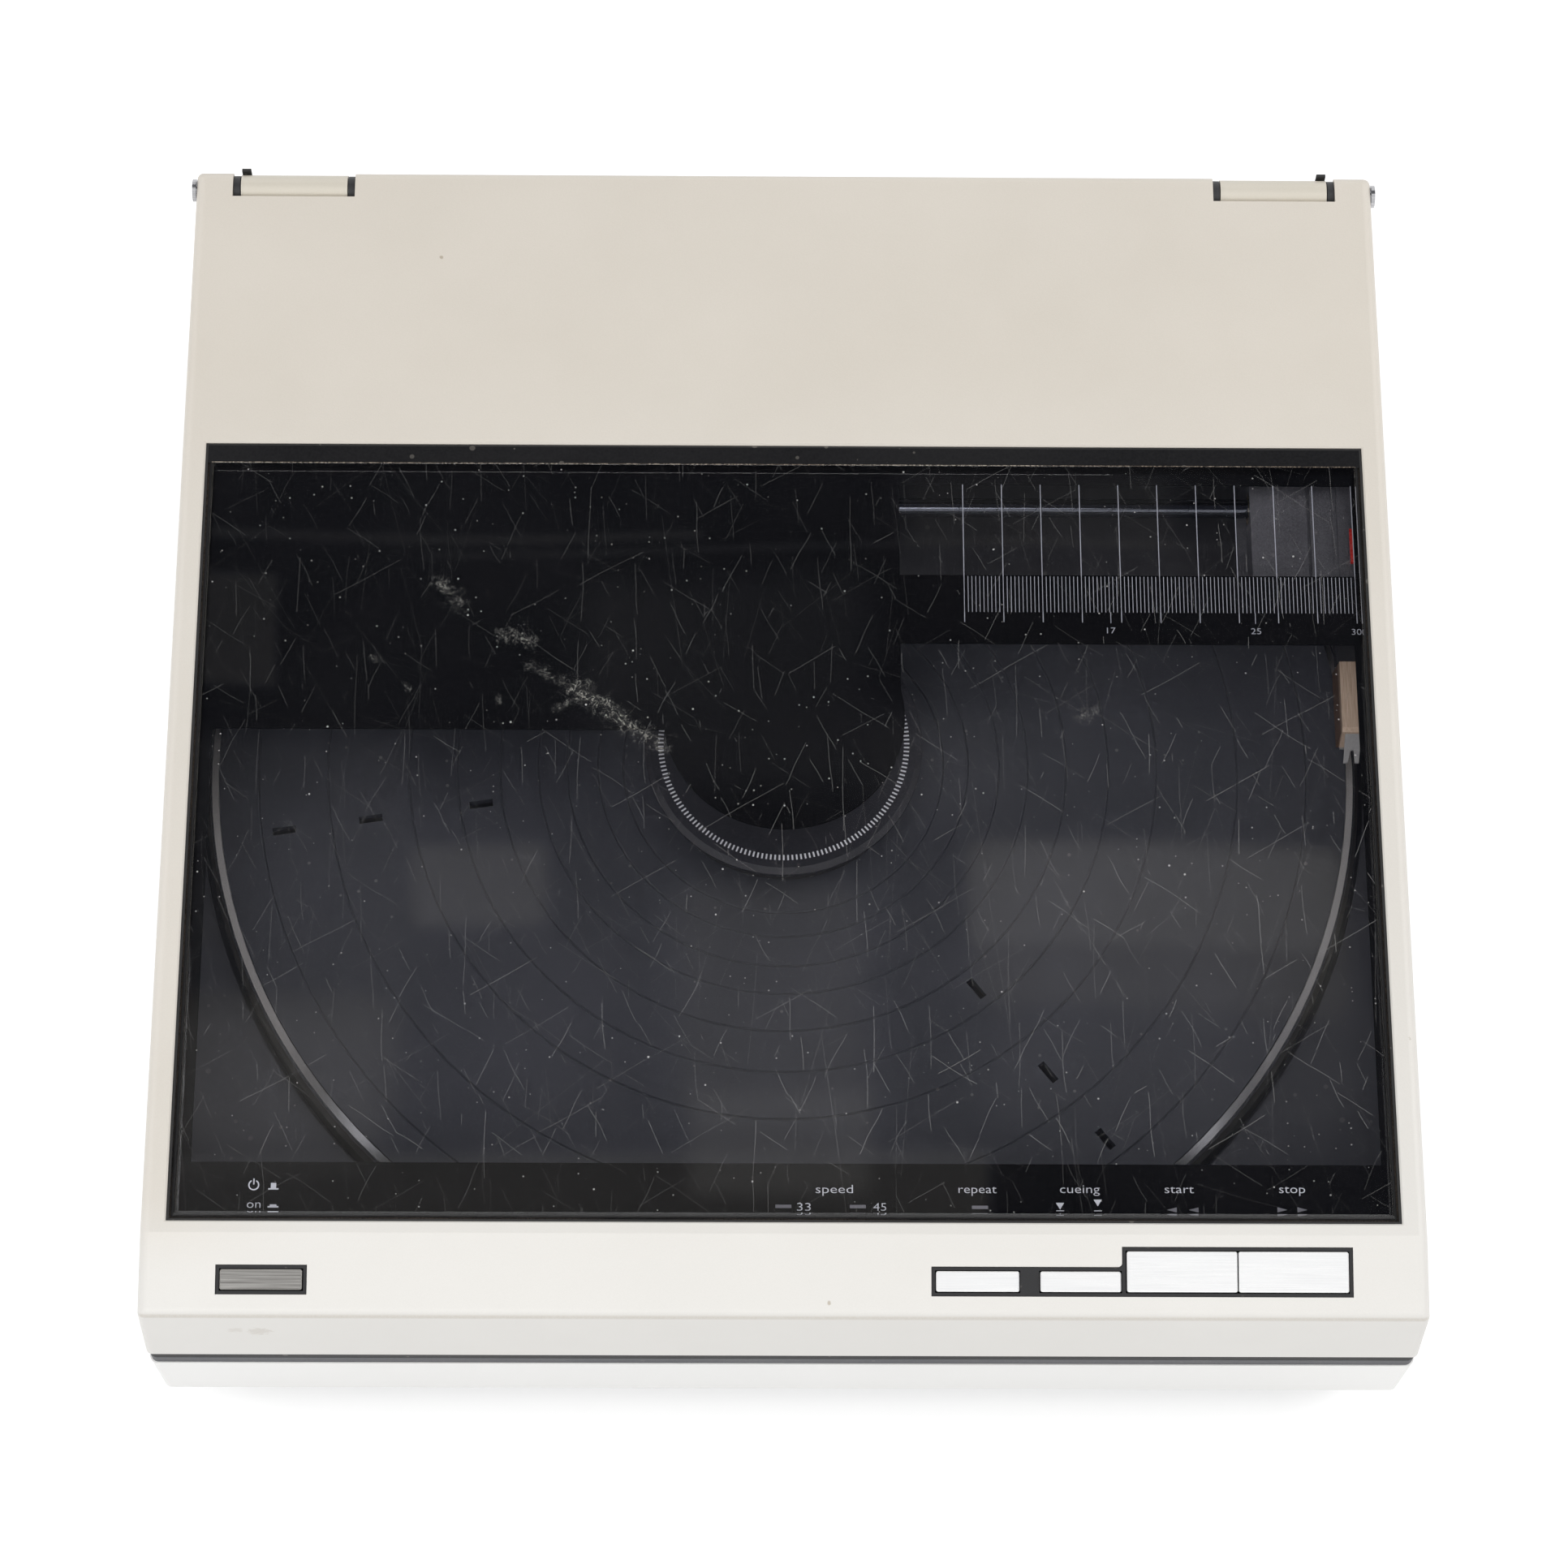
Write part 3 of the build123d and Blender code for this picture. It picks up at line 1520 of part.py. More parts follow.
def hinge_cover(side):
    x0, x1 = span_x(side, hinge_inner_x, hinge_outer_x)
    cap0 = x0 + hinge_cap_wall
    cap1 = x1 - hinge_cap_wall
    radius = hinge_cover_radius
    outer = bar_x(radius, x0, x1, hinge_y, hinge_z)
    outer += slab(x0, x1, hinge_y - radius, hinge_y + radius, upstand_top_z, hinge_z)
    hollow = radius - hinge_cover_wall
    inner = bar_x(hollow, cap0, cap1, hinge_y, hinge_z)
    inner += slab(cap0, cap1, hinge_y - hollow, hinge_y + hollow, upstand_top_z - overrun, hinge_z)
    cover = outer - inner
    return cover - bar_x(hinge_pin_radius + shaft_clearance * 2, x0 - overrun, x1 + overrun, hinge_y, hinge_z)


def hinge_spring(side):
    inset = hinge_cap_wall + hinge_lug_length + seat_clearance
    x0, x1 = span_x(side, hinge_inner_x + inset, hinge_outer_x - inset)
    spring = bar_x(hinge_spring_radius, x0, x1, hinge_y, hinge_z)
    core = bar_x(hinge_pin_radius + slide_clearance, x0 - overrun, x1 + overrun, hinge_y, hinge_z)
    return spring - core


def hinge_buffers():
    pads = []
    for side in (-1, 1):
        x0, x1 = span_x(side, hinge_outer_x - buffer_width, hinge_outer_x)
        front = hinge_y + hinge_cover_radius + shaft_clearance
        pads.append(slab(x0, x1, front, front + buffer_thickness, upstand_top_z, buffer_top_z))
    return pads


def hinge_ears():
    ears = []
    roof_z = body_height - lid_roof - shaft_clearance * 2
    for side in (-1, 1):
        for edge, direction in ((hinge_inner_x, -1), (hinge_outer_x, 1)):
            near = edge + direction * slide_clearance
            far = near + direction * hinge_ear_thickness
            wide = near + direction * (hinge_ear_thickness + hinge_ear_flange * 2 / 3)
            x0, x1 = span_x(side, min(near, far), max(near, far))
            f0, f1 = span_x(side, min(near, wide), max(near, wide))
            ear = bar_x(hinge_ear_radius, x0, x1, hinge_y, hinge_z)
            front = hinge_y - hinge_ear_reach
            ear += slab(x0, x1, front, hinge_y, roof_z - hinge_ear_drop, hinge_z)
            rear = hinge_y - hinge_slot_front - seat_clearance
            ear += slab(x0, x1, front, rear, hinge_z - hinge_ear_drop / 2, roof_z)
            ear += slab(f0, f1, front, rear, roof_z - hinge_ear_thickness, roof_z)
            bore = hinge_pin_radius + shaft_clearance
            ears.append(ear - bar_x(bore, x0 - overrun, x1 + overrun, hinge_y, hinge_z))
    return Compound(children=ears)


def hinge_pins():
    pins = []
    wall_x = lid_half_width(hinge_z - hinge_head_radius) + shaft_clearance
    inner_over = slide_clearance + hinge_ear_thickness
    for side in (-1, 1):
        x0, x1 = span_x(side, hinge_inner_x - inner_over, wall_x)
        pin = bar_x(hinge_pin_radius, x0, x1, hinge_y, hinge_z)
        h0, h1 = span_x(side, wall_x, wall_x + hinge_head_height)
        pins.append(pin + bar_x(hinge_head_radius, h0, h1, hinge_y, hinge_z))
    return Compound(children=pins)


# Recessed tray in the rear wall with its sockets
def socket_tray():
    rear = half_depth - base_wall
    tray = slab(tray_left_x, tray_right_x, tray_front_y, rear, tray_bottom_z, tray_top_z)
    left = tray_left_x - tray_flange
    right = tray_right_x + tray_flange
    tray += slab(left, right, rear - tray_wall, rear, tray_bottom_z, tray_top_z)
    return tray - tray_mouth()


def phono_sockets():
    sockets = []
    for x in phono_xs:
        y0 = tray_floor_y
        y1 = tray_floor_y + phono_sleeve_length
        nut_y = y0 + phono_nut_height
        hexagon = extrude(RegularPolygon(phono_nut_radius, 6), phono_nut_height)
        nut = Pos(x, y0, socket_z) * Rot(-90, 0, 0) * hexagon
        sleeve = bar_y(phono_sleeve_radius, y0, y1, x, socket_z)
        hollow = bar_y(phono_sleeve_radius - phono_sleeve_wall, nut_y, y1 + overrun, x, socket_z)
        insert = bar_y(phono_insert_radius, y0, y1 - phono_sleeve_wall, x, socket_z)
        bore = bar_y(phono_bore_radius, nut_y, y1 + overrun, x, socket_z)
        sockets.append(((nut + sleeve) - hollow + insert) - bore)
    return sockets


def ground_terminal():
    y0 = tray_floor_y
    y1 = y0 + ground_stem_length
    stem = bar_y(ground_stem_radius, y0, y1, ground_x, socket_z)
    knob = bar_y(ground_radius, y1, y0 + ground_length, ground_x, socket_z)
    return stem + knob


def mains_inlet():
    depth = mains_depth
    outline = SlotOverall(mains_half_width * 2, mains_half_height * 2)
    shell = extrude(outline, depth)
    inner = SlotOverall((mains_half_width - mains_wall) * 2, (mains_half_height - mains_wall) * 2)
    shell -= Pos(0, 0, mains_wall) * extrude(inner, depth)
    for side in (-1, 1):
        shell += disc(mains_pin_radius, 0, mains_wall + mains_pin_length, side * mains_pin_spacing / 2, 0)
    return Pos(mains_x, tray_floor_y, socket_z) * Rot(-90, 0, 0) * shell


def dc_inlet():
    y0 = tray_floor_y
    y1 = y0 + dc_length
    body = bar_y(dc_radius - slide_clearance, y0, y1, dc_x, socket_z)
    body -= bar_y(dc_bore_radius, y0 + dc_floor, y1 + overrun, dc_x, socket_z)
    return body + bar_y(dc_pin_radius, y0, y1 - dc_floor, dc_x, socket_z)


# Electrics on the floor of the pan and under the platter
def power_transformer():
    floor_z = foot_height + pan_wall
    core_x, core_y, core_z = transformer_core
    coil_x, coil_y, coil_z = transformer_coil
    middle_z = floor_z + core_z / 2
    core = Pos(transformer_x, transformer_y, middle_z) * Box(core_x, core_y, core_z)
    return core + Pos(transformer_x, transformer_y, middle_z) * Box(coil_x, coil_y, coil_z)


def main_circuit_board():
    floor_z = foot_height + pan_wall
    low = floor_z + board_standoff
    high = low + board_thickness
    x0 = board_x - board_width / 2
    y0 = board_y - board_depth / 2
    board = slab(x0, x0 + board_width, y0, y0 + board_depth, low, high)
    margin = board_post_radius * 2
    for x in (x0 + margin, x0 + board_width - margin):
        for y in (y0 + margin, y0 + board_depth - margin):
            half = board_post_radius
            board += slab(x - half, x + half, y - half, y + half, floor_z, low)
    for index in range(board_chip_count):
        x = x0 + board_width * (index + 1 / 2) / board_chip_count
        board += slab(
            x - margin * 2, x + margin * 2, board_y - margin, board_y + margin, high, high + board_post_radius
        )
    for index in range(board_can_count):
        x = x0 + board_width * (index + 1 / 2) / board_can_count
        board += disc(margin * 3 / 4, high, high + margin * 2, x, y0 + board_depth - margin * 3)
    return board


def sensor_board():
    low = well_floor_top_z
    high = low + board_thickness
    middle = (slot_radii[0] + slot_radii[-1]) / 2
    board = slab(
        middle - sensor_board_width / 2,
        middle + sensor_board_width / 2,
        -sensor_board_depth / 2,
        sensor_board_depth / 2,
        low,
        high,
    )
    for radius in slot_radii:
        board += slab(
            radius - sensor_width / 2, radius + sensor_width / 2, -sensor_width / 2, sensor_width / 2,
            high, high + sensor_height,
        )
    return Rot(0, 0, slot_first_angle) * board


# Speed switch and lid switch in the rear corners of the deck
def speed_switch():
    body = slab(
        switch_x - switch_body_width / 2,
        switch_x + switch_body_width / 2,
        switch_y - switch_body_depth / 2,
        switch_y + switch_body_depth / 2,
        base_top_z - switch_body_height,
        base_top_z,
    )
    reach = switch_travel + switch_stem_width / 2 + switch_slot_gap
    return body - slab(
        switch_x - reach,
        switch_x + reach,
        switch_y - switch_stem_depth / 2 - switch_slot_gap,
        switch_y + switch_stem_depth / 2 + switch_slot_gap,
        base_top_z - switch_body_height + switch_slot_gap * 3,
        base_top_z + overrun,
    )


def speed_knob():
    low = deck_top_z + seat_clearance
    knob = slab(
        switch_x - switch_knob_width / 2,
        switch_x + switch_knob_width / 2,
        switch_y - switch_knob_depth / 2,
        switch_y + switch_knob_depth / 2,
        low,
        low + switch_knob_height,
    )
    knob = chamfer(knob.faces().sort_by(Axis.Z)[-1].edges(), switch_slot_gap * 2)
    return knob + slab(
        switch_x - switch_stem_width / 2,
        switch_x + switch_stem_width / 2,
        switch_y - switch_stem_depth / 2,
        switch_y + switch_stem_depth / 2,
        base_top_z - switch_body_height + switch_slot_gap * 4,
        low,
    )


def interlock_housing():
    low = base_top_z - plunger_housing_height
    housing = disc(plunger_housing_radius, low, base_top_z, plunger_x, plunger_y)
    bore = plunger_radius + slide_clearance
    return housing - disc(bore, low - overrun, base_top_z + overrun, plunger_x, plunger_y)


def interlock_plunger():
    low = web_top_z + seat_clearance
    high = chassis_z - seat_clearance
    pin = disc(plunger_radius, low, high, plunger_x, plunger_y)
    pin = chamfer(pin.edges().sort_by(Axis.Z)[-1], plunger_radius / 2)
    collar = base_top_z - plunger_housing_height - plunger_travel - seat_clearance
    return pin + disc(plunger_head_radius, low, collar, plunger_x, plunger_y)


nodes = {
    "base_casting": base_casting(),
    "bottom_cover": bottom_cover(),
    "feet": feet(),
    "deck_panel": deck_panel(),
    "lid_seal": Compound(children=[lid_seal(), *hinge_buffers()]),
    "motor_stator": motor_stator(),
    "motor_bearing": motor_bearing(),
    "power_transformer": power_transformer(),
    "circuit_boards": Compound(children=[main_circuit_board(), sensor_board()]),
    "deck_switches": Compound(children=[speed_switch(), interlock_housing()]),
    "speed_knob": speed_knob(),
    "interlock_plunger": interlock_plunger(),
    "socket_tray": socket_tray(),
    "signal_terminals": Compound(children=[*phono_sockets(), ground_terminal()]),
    "power_inlets": Compound(children=[mains_inlet(), dc_inlet()]),
    "hinge_brackets": both_sides(hinge_bracket),
    "hinge_covers": both_sides(hinge_cover),
    "hinge_springs": both_sides(hinge_spring),
    "platter": platter(),
    "platter_mat": platter_mat(),
    "spindle": spindle(),
    "rotor_magnet": rotor_magnet(),
    "ep_adaptor": ep_adaptor(),
    "lid_shell": lid_shell(),
    "lid_window": lid_window(),
    "window_gasket": window_gasket(),
    "window_mask": window_mask(),
    "key_bezels": Compound(children=[key_bezel(), power_bezel()]),
    "key_switches": Compound(children=[key_switch_board(), power_switch()]),
    "indicator_board": indicator_board(),
    "hinge_ears": hinge_ears(),
    "hinge_pins": hinge_pins(),
    "arm_chassis": arm_chassis() + idler_post(),
    "clamp_bridge": clamp_bridge(),
    "clamp_spring": clamp_spring(),
    "guide_rods": guide_rods(),
    "rod_brackets": rod_brackets(),
    "arm_motor": arm_motor(),
    "drive_belt": drive_belt(),
    "clamp_holder": clamp_holder(),
    "clamp_disc": clamp_disc(),
    "clamp_pad": clamp_pad(),
    "drive_pulley": drive_pulley(),
    "idler_pulley": idler_pulley(),
    "carriage_frame": carriage_frame(),
    "carriage_cover": carriage_cover(),
    "carriage_bushes": carriage_bushes(),
    "position_pointer": position_pointer(),
    "lift_solenoid": lift_solenoid(),
    "arm_lifter": arm_lifter(),
    "gimbal_ring": gimbal_ring(),
    "tone_arm": tone_arm(),
    "counterweight": counterweight(),
    "cartridge": cartridge(),
    "stylus": stylus(),
    "start_key": key("start_key"),
    "stop_key": key("stop_key"),
    "repeat_key": key("repeat_key"),
    "cueing_key": key("cueing_key"),
    "power_key": key("power_key"),
}

for node_name, shape in nodes.items():
    export_step(shape, f"parts/{node_name}.step")
print(len(nodes), "nodes")
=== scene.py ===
import bpy
import math
from mathutils import Matrix, Vector


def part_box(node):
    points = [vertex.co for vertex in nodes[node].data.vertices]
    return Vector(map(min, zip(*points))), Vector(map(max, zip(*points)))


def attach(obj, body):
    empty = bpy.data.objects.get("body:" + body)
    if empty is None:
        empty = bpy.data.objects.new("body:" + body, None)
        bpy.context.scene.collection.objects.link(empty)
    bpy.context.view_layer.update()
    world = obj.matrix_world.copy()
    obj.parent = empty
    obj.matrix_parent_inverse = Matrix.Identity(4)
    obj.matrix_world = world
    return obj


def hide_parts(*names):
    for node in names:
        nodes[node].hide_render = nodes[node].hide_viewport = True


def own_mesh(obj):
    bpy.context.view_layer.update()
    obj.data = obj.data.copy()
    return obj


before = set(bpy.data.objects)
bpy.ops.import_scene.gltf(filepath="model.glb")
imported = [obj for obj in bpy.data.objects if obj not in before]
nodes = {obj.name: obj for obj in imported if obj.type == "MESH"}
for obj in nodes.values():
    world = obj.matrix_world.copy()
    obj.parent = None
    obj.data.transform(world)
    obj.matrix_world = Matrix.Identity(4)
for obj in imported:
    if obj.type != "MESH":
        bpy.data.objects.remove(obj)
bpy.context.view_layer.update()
mm = 0.001
print("frame loaded:", len(nodes), "CAD nodes")


# The camera stands where the photographer stood, a little left of the middle and tilted down
cameraValues = {
    "place": (-0.01212, -0.45956, 1.16491),
    "lookDown": 67.765,  # degrees below the horizon
    "yaw": 1.557,
    "roll": 1.671,
    "lens": 106.2,
}


def makeCamera(values):
    bpy.ops.object.camera_add(location=values["place"])
    camera = bpy.context.object
    camera.name = "photoCamera"
    turn = Matrix.Rotation(math.radians(-values["yaw"]), 3, "Z")
    turn = turn @ Matrix.Rotation(math.radians(90 - values["lookDown"]), 3, "X")
    turn = turn @ Matrix.Rotation(math.radians(values["roll"]), 3, "Z")
    camera.rotation_euler = turn.to_euler()
    camera.data.sensor_width = 36
    camera.data.lens = values["lens"]
    bpy.context.scene.camera = camera


def deselectAll():
    if bpy.context.object and bpy.context.object.mode != "OBJECT":
        bpy.ops.object.mode_set(mode="OBJECT")
    bpy.ops.object.select_all(action="DESELECT")


makeCamera(cameraValues)
deselectAll()
bpy.context.scene.view_settings.view_transform = "Standard"
print("camera set")


# Short ways to build nodes. What is being built is kept in one place: its tree, material, shader or end
building = {}


def setInputs(node, inputs):
    for socket, value in inputs.items():
        if isinstance(value, bpy.types.NodeSocket):
            building["tree"].links.new(value, node.inputs[socket])
        else:
            node.inputs[socket].default_value = value
    return node


def addNode(kind, inputs={}, **settings):
    node = building["tree"].nodes.new(kind)
    for key, value in settings.items():
        setattr(node, key, value)
    return setInputs(node, inputs)


def calc(operation, first, second=0.0, third=0.0):
    node = addNode("ShaderNodeMath", {0: first, 1: second, 2: third}, operation=operation)
    return node.outputs[0]


def times(first, *others):
    for other in others:
        first = calc("MULTIPLY", first, other)
    return first


def plus(first, second):
    return calc("ADD", first, second)


def minus(first, second):
    return calc("SUBTRACT", first, second)


def vectorMath(operation, first, second):
    return addNode("ShaderNodeVectorMath", {0: first, 1: second}, operation=operation).outputs


def scaled(vector, scale):
    return addNode("ShaderNodeVectorMath", {0: vector, "Scale": scale}, operation="SCALE").outputs[0]


def noise(place, scale, detail, **settings):
    inputs = {"Vector": place, "Scale": scale, "Detail": detail, **settings}
    return addNode("ShaderNodeTexNoise", inputs).outputs[0]


def splitPlace(place):
    return addNode("ShaderNodeSeparateXYZ", {0: place}).outputs


def flatPlace(place):
    parts = splitPlace(place)
    return addNode("ShaderNodeCombineXYZ", {0: parts[0], 1: parts[1], 2: 0.0}).outputs[0]


def distanceFromAxis(place):
    flat = flatPlace(place)
    return addNode("ShaderNodeVectorMath", {0: flat}, operation="LENGTH").outputs["Value"]


def blendColour(factor, first, second):
    return addNode("ShaderNodeMix", {0: factor, 6: first, 7: second}, data_type="RGBA").outputs[2]


def ramp(value, low, high, toLow=0.0, toHigh=1.0, smooth=False):
    node = addNode("ShaderNodeMapRange", {0: value, 1: low, 2: high, 3: toLow, 4: toHigh})
    node.interpolation_type = "SMOOTHSTEP" if smooth else "LINEAR"
    return node.outputs[0]


def objectPlace():
    return addNode("ShaderNodeTexCoord").outputs["Object"]


def bumpFrom(height, strength, distance):
    node = addNode("ShaderNodeBump", {"Strength": strength, "Distance": distance, "Height": height})
    return node.outputs[0]


def feedShader(**looks):
    sockets = {"colour": "Base Color", "roughness": "Roughness", "normal": "Normal", "alpha": "Alpha"}
    setInputs(building["shader"], {sockets[look]: value for look, value in looks.items()})
    return building["material"]


def clearNodes(owner):
    owner.use_nodes = True
    owner.node_tree.nodes.clear()
    building["tree"] = owner.node_tree


def startMaterial(name, **fixed):
    building["material"] = bpy.data.materials.new(name)
    clearNodes(building["material"])
    building["shader"] = addNode("ShaderNodeBsdfPrincipled", fixed)
    building["output"] = addNode("ShaderNodeOutputMaterial", {0: building["shader"].outputs[0]})
    return building["shader"]


def mixAtOutput(share, first, second):
    mix = addNode("ShaderNodeMixShader", {0: share, 1: first.outputs[0], 2: second.outputs[0]})
    setInputs(building["output"], {0: mix.outputs[0]})


def startGroup(name, vectors, floats, outputs):
    group = bpy.data.node_groups.new(name, "ShaderNodeTree")
    for labels, direction, kind in (
        (vectors, "INPUT", "NodeSocketVector"), (floats, "INPUT", "NodeSocketFloat"),
        (outputs, "OUTPUT", "NodeSocketFloat"),
    ):
        for label in labels:
            group.interface.new_socket(label, in_out=direction, socket_type=kind)
    building["tree"] = group
    building["end"] = addNode("NodeGroupOutput")
    return addNode("NodeGroupInput").outputs


def endGroup(**results):
    setInputs(building["end"], results)
    return building["tree"]


def useGroup(group, **values):
    return addNode("ShaderNodeGroup", values, node_tree=group).outputs


# Shared effects
def makeGrainGroup():
    given = startGroup("fineGrain", ["Place"], ["Scale"], ["Grain", "Cloud"])
    fine = noise(given["Place"], given["Scale"], 3.0)
    wide = calc("DIVIDE", given["Scale"], 90.0)
    cloud = noise(given["Place"], wide, 4.0)
    return endGroup(Grain=fine, Cloud=cloud)


def makeStreakGroup():
    given = startGroup("brushedStreaks", ["Place", "Density"], [], ["Streak"])
    stretched = vectorMath("MULTIPLY", given["Place"], given["Density"])[0]
    return endGroup(Streak=noise(stretched, 1.0, 3.0))


def makeSpeckGroup():
    given = startGroup("dustSpecks", ["Place"], ["Density", "Size"], ["Speck"])
    cells = addNode("ShaderNodeTexVoronoi", {"Vector": given["Place"], "Scale": given["Density"]})
    chance = addNode("ShaderNodeSeparateColor", {0: cells.outputs["Color"]})
    reach = times(calc("POWER", chance.outputs[0], 3.0), given["Size"])
    speck = calc("LESS_THAN", cells.outputs["Distance"], reach)
    return endGroup(Speck=speck)


def makeScratchGroup():
    given = startGroup("scratchMarks", ["Place", "Turn"], ["Density", "Length", "Width", "Bend"], ["Scratch"])
    turning = {"Vector": given["Place"], "Rotation": given["Turn"]}
    turned = addNode("ShaderNodeVectorRotate", turning, rotation_type="EULER_XYZ").outputs[0]
    place = scaled(turned, given["Density"])
    cells = addNode("ShaderNodeTexVoronoi", {"Vector": place, "Scale": 1.0}, voronoi_dimensions="2D")
    away = vectorMath("SUBTRACT", cells.outputs["Position"], place)[0]
    parts = splitPlace(away)
    wander = noise(place, 0.9, 1.0)
    sway = times(minus(wander, 0.5), given["Bend"])
    across = calc("ABSOLUTE", plus(parts[1], sway))
    chance = addNode("ShaderNodeSeparateColor", {0: cells.outputs["Color"]})
    reach = times(chance.outputs[0], given["Length"])
    inLine = calc("LESS_THAN", across, given["Width"])
    inReach = calc("LESS_THAN", calc("ABSOLUTE", parts[0]), reach)
    depth = plus(times(chance.outputs[1], 0.8), 0.2)
    return endGroup(Scratch=times(inLine, inReach, depth))


def makeSpotGroup():
    given = startGroup("softSpot", ["Place", "Centre"], ["Radius"], ["Spot"])
    away = vectorMath("DISTANCE", given["Place"], given["Centre"])["Value"]
    rough = noise(given["Place"], 900.0, 4.0)
    near = calc("DIVIDE", away, given["Radius"])
    near = plus(near, times(minus(rough, 0.5), 1.6))
    return endGroup(Spot=ramp(near, 0.4, 1.0, 1.0, 0.0, True))


# What a wiping hand left: thin wisps along the run between two places
def makeTrailGroup():
    given = startGroup("wipedTrail", ["Place", "From", "To"], ["Radius"], ["Trail"])
    run = vectorMath("SUBTRACT", given["To"], given["From"])[0]
    gone = vectorMath("SUBTRACT", given["Place"], given["From"])[0]
    along = vectorMath("DOT_PRODUCT", gone, run)["Value"]
    whole = vectorMath("DOT_PRODUCT", run, run)["Value"]
    share = ramp(calc("DIVIDE", along, whole), 0.0, 1.0)
    nearest = scaled(run, share)
    away = vectorMath("DISTANCE", gone, nearest)["Value"]
    near = minus(1.0, calc("DIVIDE", away, given["Radius"]))
    patch = noise(given["Place"], 420.0, 3.0)
    near = plus(near, times(minus(patch, 0.5), 2.6))
    body = ramp(near, 0.1, 1.1, 0.0, 1.0, True)
    fine = noise(given["Place"], 620.0, 4.0, Distortion=1.0)
    ridge = calc("ABSOLUTE", minus(fine, 0.5))
    wisp = ramp(ridge, 0.0, 0.030, 1.0, 0.05)
    return endGroup(Trail=times(body, wisp))


fineGrain = makeGrainGroup()
brushedStreaks = makeStreakGroup()
dustSpecks = makeSpeckGroup()
scratchMarks = makeScratchGroup()
softSpot = makeSpotGroup()
wipedTrail = makeTrailGroup()
print("shared effects built")


# Casing paint: fine metallic champagne with small stains and marks, painted lighter and more neutral at the
# front as a painted sheen, and darker and yellower at the rear and along the left strip as painted shade
paintValues = {
    "colour": (0.678, 0.628, 0.556, 1),
    "shade": (0.628, 0.578, 0.504, 1),
    "frontColour": (0.740, 0.722, 0.688, 1),  # painted sheen: lighter and more neutral towards the front
    "frontShade": (0.700, 0.682, 0.646, 1),
    "fadeFrom": -0.155,
    "fadeTo": 0.10,
    # leftEdge, leftShare and leftFront paint the left strip darker and yellower: painted shade
    "leftEdge": (-0.110, -0.150),
    "leftShare": 0.75,
    "leftFront": (-0.148, -0.128),
    "stain": (0.40, 0.34, 0.26, 1),
    "index": 2.1,
    "grainScale": 2600.0,
    "grainDepth": 0.00004,
    "roughness": (0.38, 0.50),
    "edgeLines": [(-0.15655, 0.0827, 0.0009, 0.45)],  # painted shade: a darker line along the lid's lower slope edge
    "marks": [  # centre, radius and strength
        ((-0.1276, -0.157, 0.0713), 0.0035, 0.35),
        ((-0.1335, -0.157, 0.0722), 0.0022, 0.25),
        ((-0.0904, 0.1301, 0.088), 0.0006, 0.9),
        ((0.01075, -0.1532, 0.0842), 0.0007, 0.8),
        ((0.154, -0.0864, 0.0875), 0.0007, 0.7),
    ],
}


# The hinge covers are darker and yellower than the lid. The base is paler than the lid, and much paler at its
# front: painted light standing for the white floor's bounce
hingeTones = {"colour": (0.640, 0.595, 0.510, 1), "shade": (0.590, 0.545, 0.460, 1), "marks": []}
baseTones = {
    "colour": (0.75, 0.725, 0.675, 1),
    "shade": (0.71, 0.685, 0.630, 1),
    "marks": [],
    # painted light: the base's front is much paler than its rear
    "frontColour": (0.900, 0.895, 0.880, 1),
    "frontShade": (0.865, 0.858, 0.840, 1),
}


def makeChampagnePaint(name, values):
    startMaterial(name, IOR=values["index"])
    place = objectPlace()
    grain = useGroup(fineGrain, Place=place, Scale=values["grainScale"])
    tone = ramp(grain["Cloud"], 0.3, 0.7)
    fleck = ramp(grain["Grain"], 0.3, 0.75)
    mixed = plus(times(tone, 0.5), times(fleck, 0.5))
    parts = splitPlace(place)
    along = parts[1]
    # Painted sheen and painted shade: the paint is lighter towards the front, and darker and yellower towards
    # the rear and over the left strip
    paintedShadeShare = ramp(along, values["fadeFrom"], values["fadeTo"])
    leftShadeShare = ramp(parts[0], *values["leftEdge"], 0.0, values["leftShare"])
    leftShadeShare = times(leftShadeShare, ramp(along, *values["leftFront"]))
    paintedShadeShare = calc("MAXIMUM", paintedShadeShare, leftShadeShare)
    shade = blendColour(paintedShadeShare, values["frontShade"], values["shade"])
    light = blendColour(paintedShadeShare, values["frontColour"], values["colour"])
    colour = blendColour(mixed, shade, light)
    for centre, radius, strength in values["marks"]:
        spot = useGroup(softSpot, Place=place, Centre=centre, Radius=radius)
        colour = blendColour(times(spot["Spot"], strength), colour, values["stain"])
    # Painted shade: a darker, uneven line in the stain colour along the slope's lower edge
    for edgeY, edgeZ, reach, strength in values["edgeLines"]:
        below = minus(along, edgeY)
        above = minus(parts[2], edgeZ)
        away = calc("SQRT", plus(times(below, below), times(above, above)))
        uneven = ramp(grain["Grain"], 0.3, 0.6, 0.6, 1.0)
        edgeShade = times(ramp(away, reach * 0.3, reach, strength, 0.0), uneven)
        colour = blendColour(edgeShade, colour, values["stain"])
    roughness = ramp(grain["Grain"], 0.2, 0.8, *values["roughness"])
    normal = bumpFrom(grain["Grain"], 0.5, values["grainDepth"])
    return feedShader(colour=colour, roughness=roughness, normal=normal)


